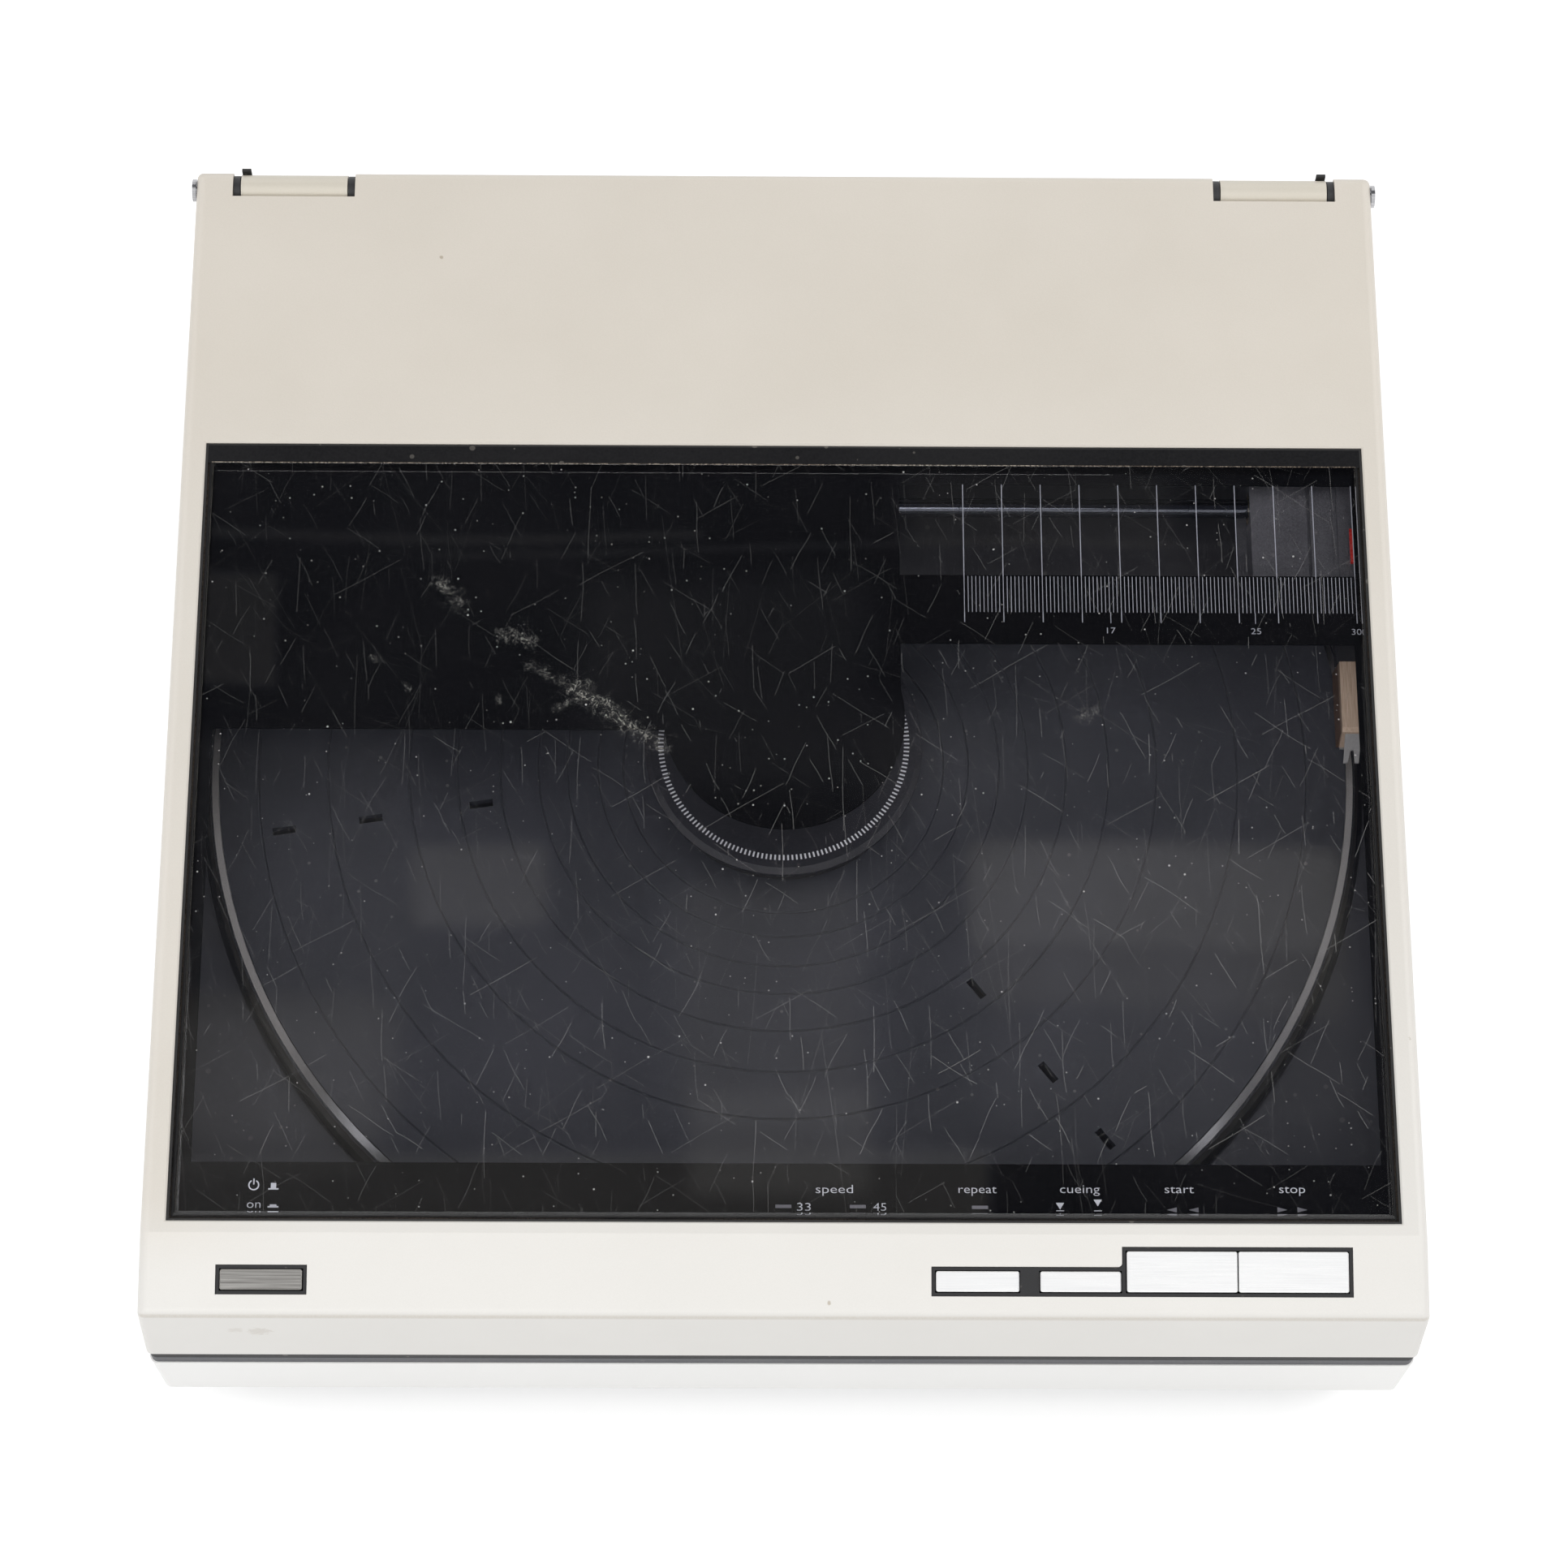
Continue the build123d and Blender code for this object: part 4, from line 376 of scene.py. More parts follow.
# Plain moulded plastics, rubbers and paints share one recipe: two tones, grain bump and some dust
plainColumns = ("dark", "light", "grain", "roughness", "bump", "dust", "shine")
plainFinishes = {
    "deckPlastic": ((0.037, 0.039, 0.046), (0.050, 0.052, 0.062), 3000, (0.42, 0.58), 0.4, 0.10, 0.5),
    "panPlastic": ((0.035, 0.035, 0.036), (0.055, 0.055, 0.056), 1800, (0.5, 0.7), 0.5, 0.12, 0.5),
    "softRubber": ((0.018, 0.018, 0.019), (0.032, 0.031, 0.030), 1500, (0.65, 0.85), 0.5, 0.20, 0.5),
    "blackFrame": ((0.010, 0.010, 0.011), (0.020, 0.020, 0.022), 2400, (0.35, 0.55), 0.3, 0.10, 0.5),
    # The next row is near-black and barely glossy: painted shade laid on the window's rear step
    "ledgeShadeSheet": ((0.007, 0.007, 0.008), (0.013, 0.013, 0.014), 1500, (0.4, 0.6), 0.2, 0.15, 0.12),
    "blackMoulding": ((0.022, 0.022, 0.024), (0.038, 0.038, 0.041), 2000, (0.4, 0.6), 0.4, 0.08, 0.5),
    "greyMoulding": ((0.36, 0.36, 0.35), (0.46, 0.46, 0.45), 2200, (0.3, 0.45), 0.3, 0.05, 0.5),
    "blackChassis": ((0.020, 0.020, 0.022), (0.036, 0.036, 0.039), 2600, (0.4, 0.55), 0.5, 0.10, 0.5),
    "carriagePaint": ((0.040, 0.040, 0.045), (0.095, 0.095, 0.104), 2600, (0.45, 0.65), 0.9, 0.08, 0.5),
    "clampPlastic": ((0.026, 0.026, 0.030), (0.040, 0.040, 0.046), 2600, (0.10, 0.20), 0.1, 0.06, 0.5),
    "ivoryPlastic": ((0.70, 0.68, 0.62), (0.80, 0.78, 0.72), 2200, (0.3, 0.4), 0.2, 0.05, 0.5),
    "ferriteGrey": ((0.045, 0.045, 0.050), (0.085, 0.085, 0.090), 900, (0.5, 0.7), 0.6, 0.05, 0.5),
    "pointerRed": ((0.42, 0.015, 0.012), (0.62, 0.035, 0.025), 1800, (0.25, 0.35), 0.1, 0.02, 0.5),
    "blackPrint": ((0.0030, 0.0030, 0.0032), (0.0060, 0.0060, 0.0064), 1500, (0.45, 0.6), 0.1, 0.0, 0.0),
    "legendInk": ((0.66, 0.68, 0.72), (0.82, 0.84, 0.89), 5000, (0.45, 0.6), 0.1, 0.0, 0.1),
    "scaleInk": ((0.40, 0.42, 0.46), (0.52, 0.54, 0.59), 5000, (0.45, 0.6), 0.1, 0.0, 0.1),
    "lampInk": ((0.16, 0.16, 0.18), (0.24, 0.24, 0.26), 5000, (0.4, 0.5), 0.1, 0.0, 0.5),
    "strobeInk": ((0.68, 0.69, 0.72), (0.88, 0.89, 0.92), 4000, (0.35, 0.5), 0.1, 0.0, 0.5),
}
dustColour = (0.40, 0.37, 0.33, 1)


def dusted(place, colour, density, size, strength):
    specks = useGroup(dustSpecks, Place=place, Density=density, Size=size)
    return blendColour(times(specks["Speck"], strength), colour, dustColour)


def makePlain(name, values):
    startMaterial(name, **{"Specular IOR Level": values["shine"]})
    place = objectPlace()
    grain = useGroup(fineGrain, Place=place, Scale=float(values["grain"]))
    tone = times(plus(grain["Grain"], grain["Cloud"]), 0.5)
    colour = blendColour(ramp(tone, 0.35, 0.65), (*values["dark"], 1), (*values["light"], 1))
    if values["dust"]:
        colour = dusted(place, colour, 260.0, 0.22, values["dust"])
    roughness = ramp(tone, 0.35, 0.65, *values["roughness"])
    normal = bumpFrom(grain["Grain"], values["bump"], 0.00005)
    return feedShader(colour=colour, roughness=roughness, normal=normal)


# Bare metals share one recipe: streaks along one direction in tone and roughness
metalColumns = ("dark", "light", "density", "roughness")
metalFinishes = {
    "groundSteel": ((0.38, 0.38, 0.40), (0.62, 0.62, 0.63), (60, 4000, 4000), (0.16, 0.34)),
    # polishedRod is coloured very dark: painted shade standing for the dim surroundings the rod mirrors
    "polishedRod": ((0.12, 0.13, 0.15), (0.17, 0.18, 0.21), (8, 900, 900), (0.03, 0.06)),
    "turnedBrass": ((0.50, 0.36, 0.14), (0.72, 0.56, 0.27), (900, 900, 5000), (0.2, 0.38)),
    "brushedKey": ((0.93, 0.935, 0.94), (1.0, 1.0, 1.0), (60, 7000, 7000), (0.24, 0.42)),
    "brushedPowerKey": ((0.22, 0.21, 0.20), (0.46, 0.45, 0.43), (50, 5000, 5000), (0.26, 0.44)),
    "copperWire": ((0.36, 0.15, 0.06), (0.66, 0.34, 0.16), (500, 500, 6000), (0.3, 0.5)),
}


def makeMetal(name, values):
    startMaterial(name, Metallic=1.0)
    place = objectPlace()
    streak = useGroup(brushedStreaks, Place=place, Density=values["density"])["Streak"]
    cloud = useGroup(fineGrain, Place=place, Scale=2500.0)["Cloud"]
    tone = ramp(plus(times(streak, 0.75), times(cloud, 0.25)), 0.35, 0.65)
    colour = blendColour(tone, (*values["dark"], 1), (*values["light"], 1))
    low, high = values["roughness"]
    roughness = ramp(tone, 0.0, 1.0, high, low)
    return feedShader(colour=colour, roughness=roughness, normal=bumpFrom(streak, 0.25, 0.00002))


# Cast platter: turned rings, the polished bevel at its edge is brighter than the dull side
platterValues = {
    "side": (0.26, 0.25, 0.22, 1),
    "bevel": (0.80, 0.81, 0.84, 1),
    "edgeHeight": 0.0505,
    "edgeSoft": 0.0003,
    "ringDensity": 9000.0,
    "ringTone": (0.3, 0.3, 0.3, 1),
    "roughness": (0.42, 0.24),  # of the side and of the bevel
}


def makeCastPlatter(values):
    startMaterial("castPlatter", Metallic=1.0)
    place = objectPlace()
    ringPlace = times(distanceFromAxis(place), values["ringDensity"])
    rings = addNode("ShaderNodeTexNoise", {"W": ringPlace, "Scale": 1.0}, noise_dimensions="1D")
    height, soft = values["edgeHeight"], values["edgeSoft"]
    upper = ramp(splitPlace(place)[2], height - soft, height + soft)
    colour = blendColour(upper, values["side"], values["bevel"])
    shade = ramp(rings.outputs[0], 0.3, 0.7, 0.0, 0.3)
    colour = blendColour(shade, colour, values["ringTone"])
    roughness = ramp(upper, 0.0, 1.0, *values["roughness"])
    normal = bumpFrom(rings.outputs[0], 0.2, 0.00002)
    return feedShader(colour=colour, roughness=roughness, normal=normal)


# Mat: dark rubber with fine ring grooves and a little dust
matValues = {
    "dark": (0.030, 0.032, 0.038, 1),
    "light": (0.044, 0.046, 0.055, 1),
    "groove": (0.052, 0.054, 0.062, 1),  # lighter, because the groove's own shade darkens it
    "ringRadii": (0.0415, 0.0480, 0.0560, 0.0635, 0.0735, 0.0845, 0.0970, 0.1180, 0.1360),
    "ringHalfWidth": 0.00055,
    "roughness": (0.55, 0.72),
    "dust": (230.0, 0.12, 0.18),  # density, size and strength of the specks
}


def makeMatRubber(values):
    startMaterial("matRubber")
    place = objectPlace()
    radius = distanceFromAxis(place)
    grain = useGroup(fineGrain, Place=place, Scale=2200.0)
    colour = blendColour(ramp(grain["Cloud"], 0.3, 0.7), values["dark"], values["light"])
    rings = 0.0
    for ringRadius in values["ringRadii"]:
        near = calc("ABSOLUTE", minus(radius, ringRadius))
        rings = calc("MAXIMUM", rings, ramp(near, 0.0, values["ringHalfWidth"], 1.0, 0.0))
    colour = blendColour(rings, colour, values["groove"])
    colour = dusted(place, colour, *values["dust"])
    roughness = ramp(grain["Grain"], 0.3, 0.7, *values["roughness"])
    normal = bumpFrom(grain["Grain"], 0.4, 0.00004)
    return feedShader(colour=colour, roughness=roughness, normal=normal)


def scaledColour(colour, share):
    return tuple(part * share for part in colour[:3]) + (1,)


# Smoked window: glass to the eye, and a tinted pass for the light that falls through it
windowValues = {
    "tint": (0.835, 0.830, 0.845, 1),  # at each of its two faces
    "lightTint": (0.86, 0.855, 0.87, 1),
    "roughness": (0.0, 0.02),
    "index": 1.49,
}


def makeSmokedAcrylic(values):
    startMaterial("smokedAcrylic", **{"IOR": values["index"], "Transmission Weight": 1.0})
    place = objectPlace()
    cloud = useGroup(fineGrain, Place=place, Scale=1500.0)["Cloud"]
    colour = blendColour(cloud, scaledColour(values["tint"], 0.985), values["tint"])
    feedShader(colour=colour, roughness=ramp(cloud, 0.3, 0.7, *values["roughness"]))
    path = addNode("ShaderNodeLightPath")
    soft = calc("MAXIMUM", path.outputs["Is Shadow Ray"], path.outputs["Is Diffuse Ray"])
    clear = addNode("ShaderNodeBsdfTransparent", {0: values["lightTint"]})
    mixAtOutput(soft, building["shader"], clear)
    return building["material"]


# Cartridge: champagne metal, brushed along its length, with its left flank painted dark as painted shade
cartridgeValues = {
    "dark": (0.60, 0.44, 0.31, 1),
    "light": (0.86, 0.68, 0.52, 1),
    "flankShade": (0.12, 0.07, 0.045, 1),
    "flankX": 0.1438,
    "roughness": (0.35, 0.5),
}


def makeCartridgeMetal(values):
    startMaterial("champagneCartridge", Metallic=0.15)
    place = objectPlace()
    streak = useGroup(brushedStreaks, Place=place, Density=(6000, 150, 6000))["Streak"]
    colour = blendColour(ramp(streak, 0.35, 0.65), values["dark"], values["light"])
    side = splitPlace(place)[0]
    # Painted shade: the left flank beyond flankX is coloured dark brown
    flankShade = ramp(side, values["flankX"] - 0.0002, values["flankX"] + 0.0002, 1.0, 0.0)
    colour = blendColour(flankShade, colour, values["flankShade"])
    roughness = ramp(streak, 0.3, 0.7, *values["roughness"])
    return feedShader(colour=colour, roughness=roughness, normal=bumpFrom(streak, 0.3, 0.00002))


# Boards: green lacquer with copper tracks; what stands on them is told by its height
boardValues = {
    "lacquer": (0.018, 0.075, 0.030, 1),
    "track": (0.045, 0.135, 0.055, 1),
    "parts": (0.028, 0.026, 0.026, 1),
    "coils": (0.40, 0.17, 0.07, 1),
    "roughness": (0.3, 0.45),
}


def makeBoard(name, splitHeight, partColour):
    startMaterial(name)
    place = objectPlace()
    bricks = addNode("ShaderNodeTexBrick", {"Vector": place, "Scale": 90.0, "Mortar Size": 0.06})
    lacquer = blendColour(bricks.outputs["Fac"], boardValues["lacquer"], boardValues["track"])
    height = splitPlace(place)[2]
    upper = ramp(height, splitHeight, splitHeight + 0.0001)
    grain = useGroup(fineGrain, Place=place, Scale=2000.0)
    uneven = ramp(grain["Grain"], 0.3, 0.7)
    parts = blendColour(uneven, partColour, scaledColour(partColour, 1.5))
    roughness = ramp(grain["Grain"], 0.3, 0.7, *boardValues["roughness"])
    return feedShader(colour=blendColour(upper, lacquer, parts), roughness=roughness)


finishes = {
    "champagnePaint": makeChampagnePaint("champagnePaint", paintValues),
    "paleBasePaint": makeChampagnePaint("paleBasePaint", {**paintValues, **baseTones}),
    "darkerHingePaint": makeChampagnePaint("darkerHingePaint", {**paintValues, **hingeTones}),
}
for finishName, row in plainFinishes.items():
    finishes[finishName] = makePlain(finishName, dict(zip(plainColumns, row)))
for finishName, row in metalFinishes.items():
    finishes[finishName] = makeMetal(finishName, dict(zip(metalColumns, row)))
for makeFinish, values in (
    (makeCastPlatter, platterValues), (makeMatRubber, matValues), (makeSmokedAcrylic, windowValues),
    (makeCartridgeMetal, cartridgeValues),
):
    material = makeFinish(values)
    finishes[material.name] = material
finishes["statorBoard"] = makeBoard("statorBoard", 0.03745, boardValues["coils"])
finishes["mainBoard"] = makeBoard("mainBoard", 0.0132, boardValues["parts"])
finishes["keyBoard"] = makeBoard("keyBoard", 0.0810, boardValues["parts"])
print("finishes built:", len(finishes))

nodeFinishes = {
    "champagnePaint": ["lid_shell"],
    "darkerHingePaint": ["hinge_covers"],
    "paleBasePaint": ["base_casting"],
    "panPlastic": ["bottom_cover"],
    "softRubber": ["feet", "lid_seal", "window_gasket", "drive_belt", "clamp_pad"],
    "deckPlastic": ["deck_panel"],
    "statorBoard": ["motor_stator"],
    "turnedBrass": ["motor_bearing", "drive_pulley", "carriage_bushes", "signal_terminals"],
    "ferriteGrey": ["power_transformer", "rotor_magnet", "counterweight"],
    "mainBoard": ["circuit_boards"],
    "blackMoulding": ["deck_switches", "interlock_plunger", "socket_tray", "power_inlets", "tone_arm"],
    "greyMoulding": ["speed_knob", "ep_adaptor", "idler_pulley", "stylus"],
    "blackChassis": ["hinge_brackets", "hinge_ears", "arm_chassis", "clamp_bridge", "rod_brackets"],
    "groundSteel": [
        "hinge_springs", "spindle", "hinge_pins", "clamp_spring", "arm_motor", "clamp_holder",
        "arm_lifter", "gimbal_ring",
    ],
    "castPlatter": ["platter"],
    "matRubber": ["platter_mat"],
    "smokedAcrylic": ["lid_window"],
    "blackPrint": ["window_mask"],
    "blackFrame": ["key_bezels"],
    "keyBoard": ["key_switches", "indicator_board"],
    "clampPlastic": ["clamp_disc"],
    "carriagePaint": ["carriage_frame", "carriage_cover"],
    "pointerRed": ["position_pointer"],
    "copperWire": ["lift_solenoid"],
    "polishedRod": ["guide_rods"],
    "champagneCartridge": ["cartridge"],
    "brushedKey": ["start_key", "stop_key", "repeat_key", "cueing_key"],
    "brushedPowerKey": ["power_key"],
}
for finishName, nodeNames in nodeFinishes.items():
    for nodeName in nodeNames:
        for slot in nodes[nodeName].material_slots:
            slot.material = finishes[finishName]
print("CAD nodes dressed")


# Making and finishing new pieces
def inMetres(*lengths):
    return tuple(length * mm for length in lengths)


def applyPlace():
    bpy.ops.object.transform_apply(location=True, rotation=True, scale=True)


def openMesh():
    bpy.ops.object.mode_set(mode="EDIT")
    bpy.ops.mesh.select_all(action="SELECT")


def closeMesh():
    bpy.ops.object.mode_set(mode="OBJECT")


def mendAndClose():
    bpy.ops.mesh.select_all(action="SELECT")
    bpy.ops.mesh.normals_make_consistent(inside=False)
    closeMesh()


# A flat ring round the axis, or round a place
def addFlatRing(sides, outer, inner, place=(0, 0, 0)):
    deselectAll()
    bpy.ops.mesh.primitive_circle_add(vertices=sides, radius=outer * mm, location=place)
    applyPlace()
    openMesh()
    bpy.ops.mesh.extrude_edges_move()
    ratio = inner / outer
    bpy.ops.transform.resize(value=(ratio, ratio, 1), center_override=place)
    return bpy.context.object


def selectOnly(piece):
    deselectAll()
    piece.select_set(True)
    bpy.context.view_layer.objects.active = piece


def removePiece(piece):
    selectOnly(piece)
    bpy.ops.object.delete()


def settlePiece(piece, name, body, finish):
    selectOnly(piece)
    applyPlace()
    piece.name = name
    piece.data.name = name
    piece.data.materials.clear()
    piece.data.materials.append(finishes[finish])
    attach(piece, body)
    deselectAll()


def addSheet(x0, x1, y0, y1, z):
    deselectAll()
    bpy.ops.mesh.primitive_plane_add(size=1, location=inMetres((x0 + x1) / 2, (y0 + y1) / 2, z))
    piece = bpy.context.object
    piece.scale = ((x1 - x0) * mm, (y1 - y0) * mm, 1)
    applyPlace()
    return piece


def applyModifier(piece, kind, **settings):
    selectOnly(piece)
    modifier = piece.modifiers.new(kind.lower(), kind)
    for key, value in settings.items():
        setattr(modifier, key, value)
    bpy.ops.object.modifier_apply(modifier=modifier.name)


def repeatAlongX(piece, count, step):
    applyModifier(
        piece, "ARRAY", count=count, use_relative_offset=False, use_constant_offset=True,
        constant_offset_displace=(step * mm, 0, 0),
    )


def joinPieces(pieces):
    selectOnly(pieces[0])
    for piece in pieces[1:]:
        piece.select_set(True)
    bpy.ops.object.join()
    return bpy.context.object


# Words are set with the built-in font, made a mesh, and fitted to their width and height
capShare = 0.729  # of the font's size, filled by its capitals


def addWord(words, x0, x1, baseY, capHeight, z):
    deselectAll()
    bpy.ops.object.text_add(location=(0, 0, 0))
    bpy.context.object.data.body = words
    bpy.context.object.data.resolution_u = 3
    bpy.context.object.data.offset = printValues["lightening"]
    bpy.ops.object.convert(target="MESH")
    piece = bpy.context.object
    xs = [point.co.x for point in piece.data.vertices]
    across = (x1 - x0) * mm / (max(xs) - min(xs))
    upward = capHeight * mm / capShare
    piece.scale = (across, upward, 1)
    piece.location = (x0 * mm - min(xs) * across, baseY * mm, z * mm)
    applyPlace()
    return piece


def addWords(rows, capHeight, z):
    return [addWord(words, x0, x1, baseY, capHeight, z) for words, x0, x1, baseY in rows]


# Window print: legends, symbols, set-down scale and ruler, all on the window's underside
printValues = {
    "height": 83.985,
    "thickness": 0.02,
    "lightening": -0.007,  # the print is a little lighter than the built-in font
    "capHeight": 2.25,
    "figureHeight": 2.1,
    "words": [
        ("speed", 7.56, 16.65, -125.9),
        ("repeat", 42.35, 51.64, -125.8),
        ("cueing", 67.07, 76.77, -125.7),
        ("start", 92.60, 99.73, -125.65),
        ("stop", 120.52, 126.86, -125.55),
        ("on", -130.58, -127.24, -130.1),
    ],
    "figures": [("33", 3.01, 6.36, -130.4), ("45", 21.56, 24.71, -130.35)],
    "scaleFigures": [("17", 82.5, 84.7, 23.55), ("25", 119.4, 122.0, 23.5), ("30", 145.2, 147.7, 23.45)],
    "scaleFigureHeight": 1.75,
    "rulerStart": 46.13,
    "rulerStep": 10.058,
    "rulerCount": 11,
    "rulerFront": 26.6,
    "rulerRear": 65.6,
    "rulerWidth": 0.22,
    "tickStep": 1.0058,
    "tickCount": 101,
    "tickFront": 29.4,
    "tickRear": 39.5,
    "tickWidth": 0.17,
    "extraTicks": (83.58, 120.64),
    "extraFront": 26.4,
}


def addRuler(values):
    z = values["height"]
    half = values["rulerWidth"] / 2
    start = values["rulerStart"]
    longLines = [
        addSheet(start - half, start + half, values["rulerFront"], values["tickFront"], z),
        addSheet(start - half, start + half, values["tickRear"], values["rulerRear"], z),
    ]
    for lines in longLines:
        repeatAlongX(lines, values["rulerCount"], values["rulerStep"])
    half = values["tickWidth"] / 2
    ticks = addSheet(start - half, start + half, values["tickFront"], values["tickRear"], z)
    repeatAlongX(ticks, values["tickCount"], values["tickStep"])
    pieces = longLines + [ticks]
    for x in values["extraTicks"]:
        pieces.append(addSheet(x - half, x + half, values["extraFront"], values["tickFront"], z))
    return joinPieces(pieces + addWords(values["scaleFigures"], values["scaleFigureHeight"], z))


def addTriangle(x, y, width, height, turnDegrees, z):
    deselectAll()
    bpy.ops.mesh.primitive_circle_add(vertices=3, radius=1, fill_type="NGON", location=(0, 0, 0))
    piece = bpy.context.object
    piece.scale = (width * mm / math.sqrt(3), height * mm / 1.5, 1)
    applyPlace()
    openMesh()
    bpy.ops.transform.translate(value=(0, -height * mm / 6, 0))
    closeMesh()
    piece.rotation_euler = (0, 0, math.radians(turnDegrees))
    piece.location = inMetres(x, y, z)
    applyPlace()
    return piece


# Each key symbol has its place, and bars that give their left, right, front and rear from there
symbolValues = {
    "powerRing": (-129.1, -124.3, 1.35, 0.32),  # place, radius and line width
    "powerGap": (0.6, 0.42),  # shares of the radius, as the stroke's ends are
    "powerStroke": (0.1, 1.2),
    "raisedKey": ((-124.3, -124.9), [(-1.25, 1.25, -0.55, -0.2), (-0.65, 0.65, -0.2, 1.15)]),
    "pressedKey": ((-124.2, -129.5), [(-1.3, 1.3, -0.5, -0.1), (-0.8, 0.8, -0.1, 0.3)]),
    "cues": [((67.0, -130.2), 1.15), ((76.2, -130.2), 2.0)],  # place, and the arrow's height over it
    "cueArrow": (2.0, 1.7),
    "cueBar": (-0.95, 0.95, -0.1, 0.1),
    "dimArrow": (1.3, 2.4),
    "dimArrows": [(94.2, -129.9, 90), (99.5, -129.9, 90), (121.1, -129.8, -90), (126.0, -129.8, -90)],
}


# Open ring with a stroke through its gap
def addPowerSymbol(values, z):
    x, y, radius, line = values["powerRing"]
    gapRise, gapShare = values["powerGap"]
    low, high = values["powerStroke"]
    piece = addFlatRing(40, radius, radius - line, inMetres(x, y, z))
    bpy.ops.mesh.select_mode(type="FACE")
    bpy.ops.mesh.select_all(action="DESELECT")
    closeMesh()
    for face in piece.data.polygons:
        atTop = face.center.y > (y + radius * gapRise) * mm
        face.select = atTop and abs(face.center.x - x * mm) < radius * gapShare * mm
    bpy.ops.object.mode_set(mode="EDIT")
    bpy.ops.mesh.delete(type="FACE")
    mendAndClose()
    stroke = addSheet(x - line / 2, x + line / 2, y + radius * low, y + radius * high, z)
    return [piece, stroke]


def addBar(place, bar, z):
    (x, y), (left, right, front, rear) = place, bar
    return addSheet(x + left, x + right, y + front, y + rear, z)


def addSymbols(values, z):
    pieces = addPowerSymbol(values, z)
    for place, bars in (values["raisedKey"], values["pressedKey"]):
        pieces += [addBar(place, bar, z) for bar in bars]
    for (x, y), raised in values["cues"]:
        pieces.append(addTriangle(x, y + raised, *values["cueArrow"], 180, z))
        pieces.append(addBar((x, y), values["cueBar"], z))
    return pieces


def addDimSymbols(values, z):
    return [addTriangle(x, y, *values["dimArrow"], turn, z) for x, y, turn in values["dimArrows"]]


lampValues = {
    "places": ((-0.3, -129.3), (17.8, -129.3), (47.5, -129.4)),
    "bar": (-1.95, 1.95, -0.42, 0.42),
}


def finishPrint(piece, name, finish, body="lid"):
    applyModifier(piece, "SOLIDIFY", thickness=printValues["thickness"] * mm, offset=-1)
    settlePiece(piece, name, body, finish)


printHeight = printValues["height"]
finishPrint(addRuler(printValues), "window_scale_print", "scaleInk")
legendPieces = addWords(printValues["words"], printValues["capHeight"], printHeight)
legendPieces += addWords(printValues["figures"], printValues["figureHeight"], printHeight)
legendPieces += addSymbols(symbolValues, printHeight)
finishPrint(joinPieces(legendPieces), "window_legend_print", "legendInk")
lampPieces = [addBar(place, lampValues["bar"], printHeight) for place in lampValues["places"]]
lampPieces += addDimSymbols(symbolValues, printHeight)
finishPrint(joinPieces(lampPieces), "window_lamp_print", "lampInk")
print("window print made")


# Speed legend on the deck, behind the speed knob
speedPrintValues = {
    "words": [("33", 121.4, 124.4, 134.4), ("auto", 125.3, 130.7, 134.4), ("45", 131.6, 134.6, 134.4)],
    "capHeight": 1.9,
    "height": 45.02,
}


def addSpeedPrint(values):
    pieces = addWords(values["words"], values["capHeight"], values["height"])
    finishPrint(joinPieces(pieces), "deck_speed_print", "legendInk", "base")


addSpeedPrint(speedPrintValues)
print("speed print made")


# Strobe marks printed on the edge of the record clamp
strobeValues = {"count": 180, "inner": 30.9, "outer": 32.3, "width": 0.42, "height": 66.715}


def addStrobeMarks(values):
    half = values["width"] / 2
    piece = addSheet(values["inner"], values["outer"], -half, half, values["height"])
    openMesh()
    bpy.ops.mesh.spin(steps=values["count"], dupli=True, angle=math.tau, center=(0, 0, 0), axis=(0, 0, 1))
    bpy.ops.mesh.select_all(action="SELECT")
    bpy.ops.mesh.remove_doubles(threshold=0.00001)
    bpy.ops.mesh.normals_make_consistent(inside=False)
    closeMesh()
    applyModifier(piece, "SOLIDIFY", thickness=0.00001, offset=0)
    settlePiece(piece, "clamp_strobe_marks", "clamp", "strobeInk")


addStrobeMarks(strobeValues)
print("strobe marks made")


# Cross-headed screws: one head is modelled facing down, the others are copies of it
screwValues = {
    "radius": 2.6,
    "depth": 1.4,
    "edge": 0.45,
    "slotLength": 3.2,
    "slotWidth": 0.65,
    "slotDepth": 0.8,
    "turn": 37,  # degrees from each screw's slots to the next one's
    "caseHeight": 5.0,
    "casePlaces": [(-143.5, -143.5), (143.5, -143.5), (-143.5, 143.5), (143.5, 143.5)],
    "chassisHeight": 55.8,
    "chassisShare": 0.75,  # the chassis screws are smaller
    "chassisPlaces": [
        (-148, 141), (-100, 141), (-60, 141), (60, 141), (100, 141), (148, 141), (-150.8, 60), (150.8, 60),
    ],
}


def makeScrewHead(values):
    deselectAll()
    radius, depth = values["radius"] * mm, values["depth"] * mm
    middle = (0, 0, -depth / 2)
    bpy.ops.mesh.primitive_cylinder_add(vertices=20, radius=radius, depth=depth, location=middle)
    head = bpy.context.object
    bpy.ops.object.transform_apply(location=True)
    for edge in head.data.edges:
        edge.select = all(head.data.vertices[index].co.z < -depth * 0.9 for index in edge.vertices)
    for face in head.data.polygons:
        face.select = False
    bpy.ops.object.mode_set(mode="EDIT")
    bpy.ops.mesh.select_mode(type="EDGE")
    bpy.ops.mesh.bevel(offset=values["edge"] * mm, segments=3)
    closeMesh()
    for along in (0, 1):
        size = [values["slotWidth"], values["slotWidth"]]
        size[along] = values["slotLength"]
        bpy.ops.mesh.primitive_cube_add(size=1, location=(0, 0, -depth))
        cutter = bpy.context.object
        cutter.scale = inMetres(size[0], size[1], values["slotDepth"] * 2)
        applyPlace()
        applyModifier(head, "BOOLEAN", operation="DIFFERENCE", object=cutter, solver="EXACT")
        removePiece(cutter)
    return head


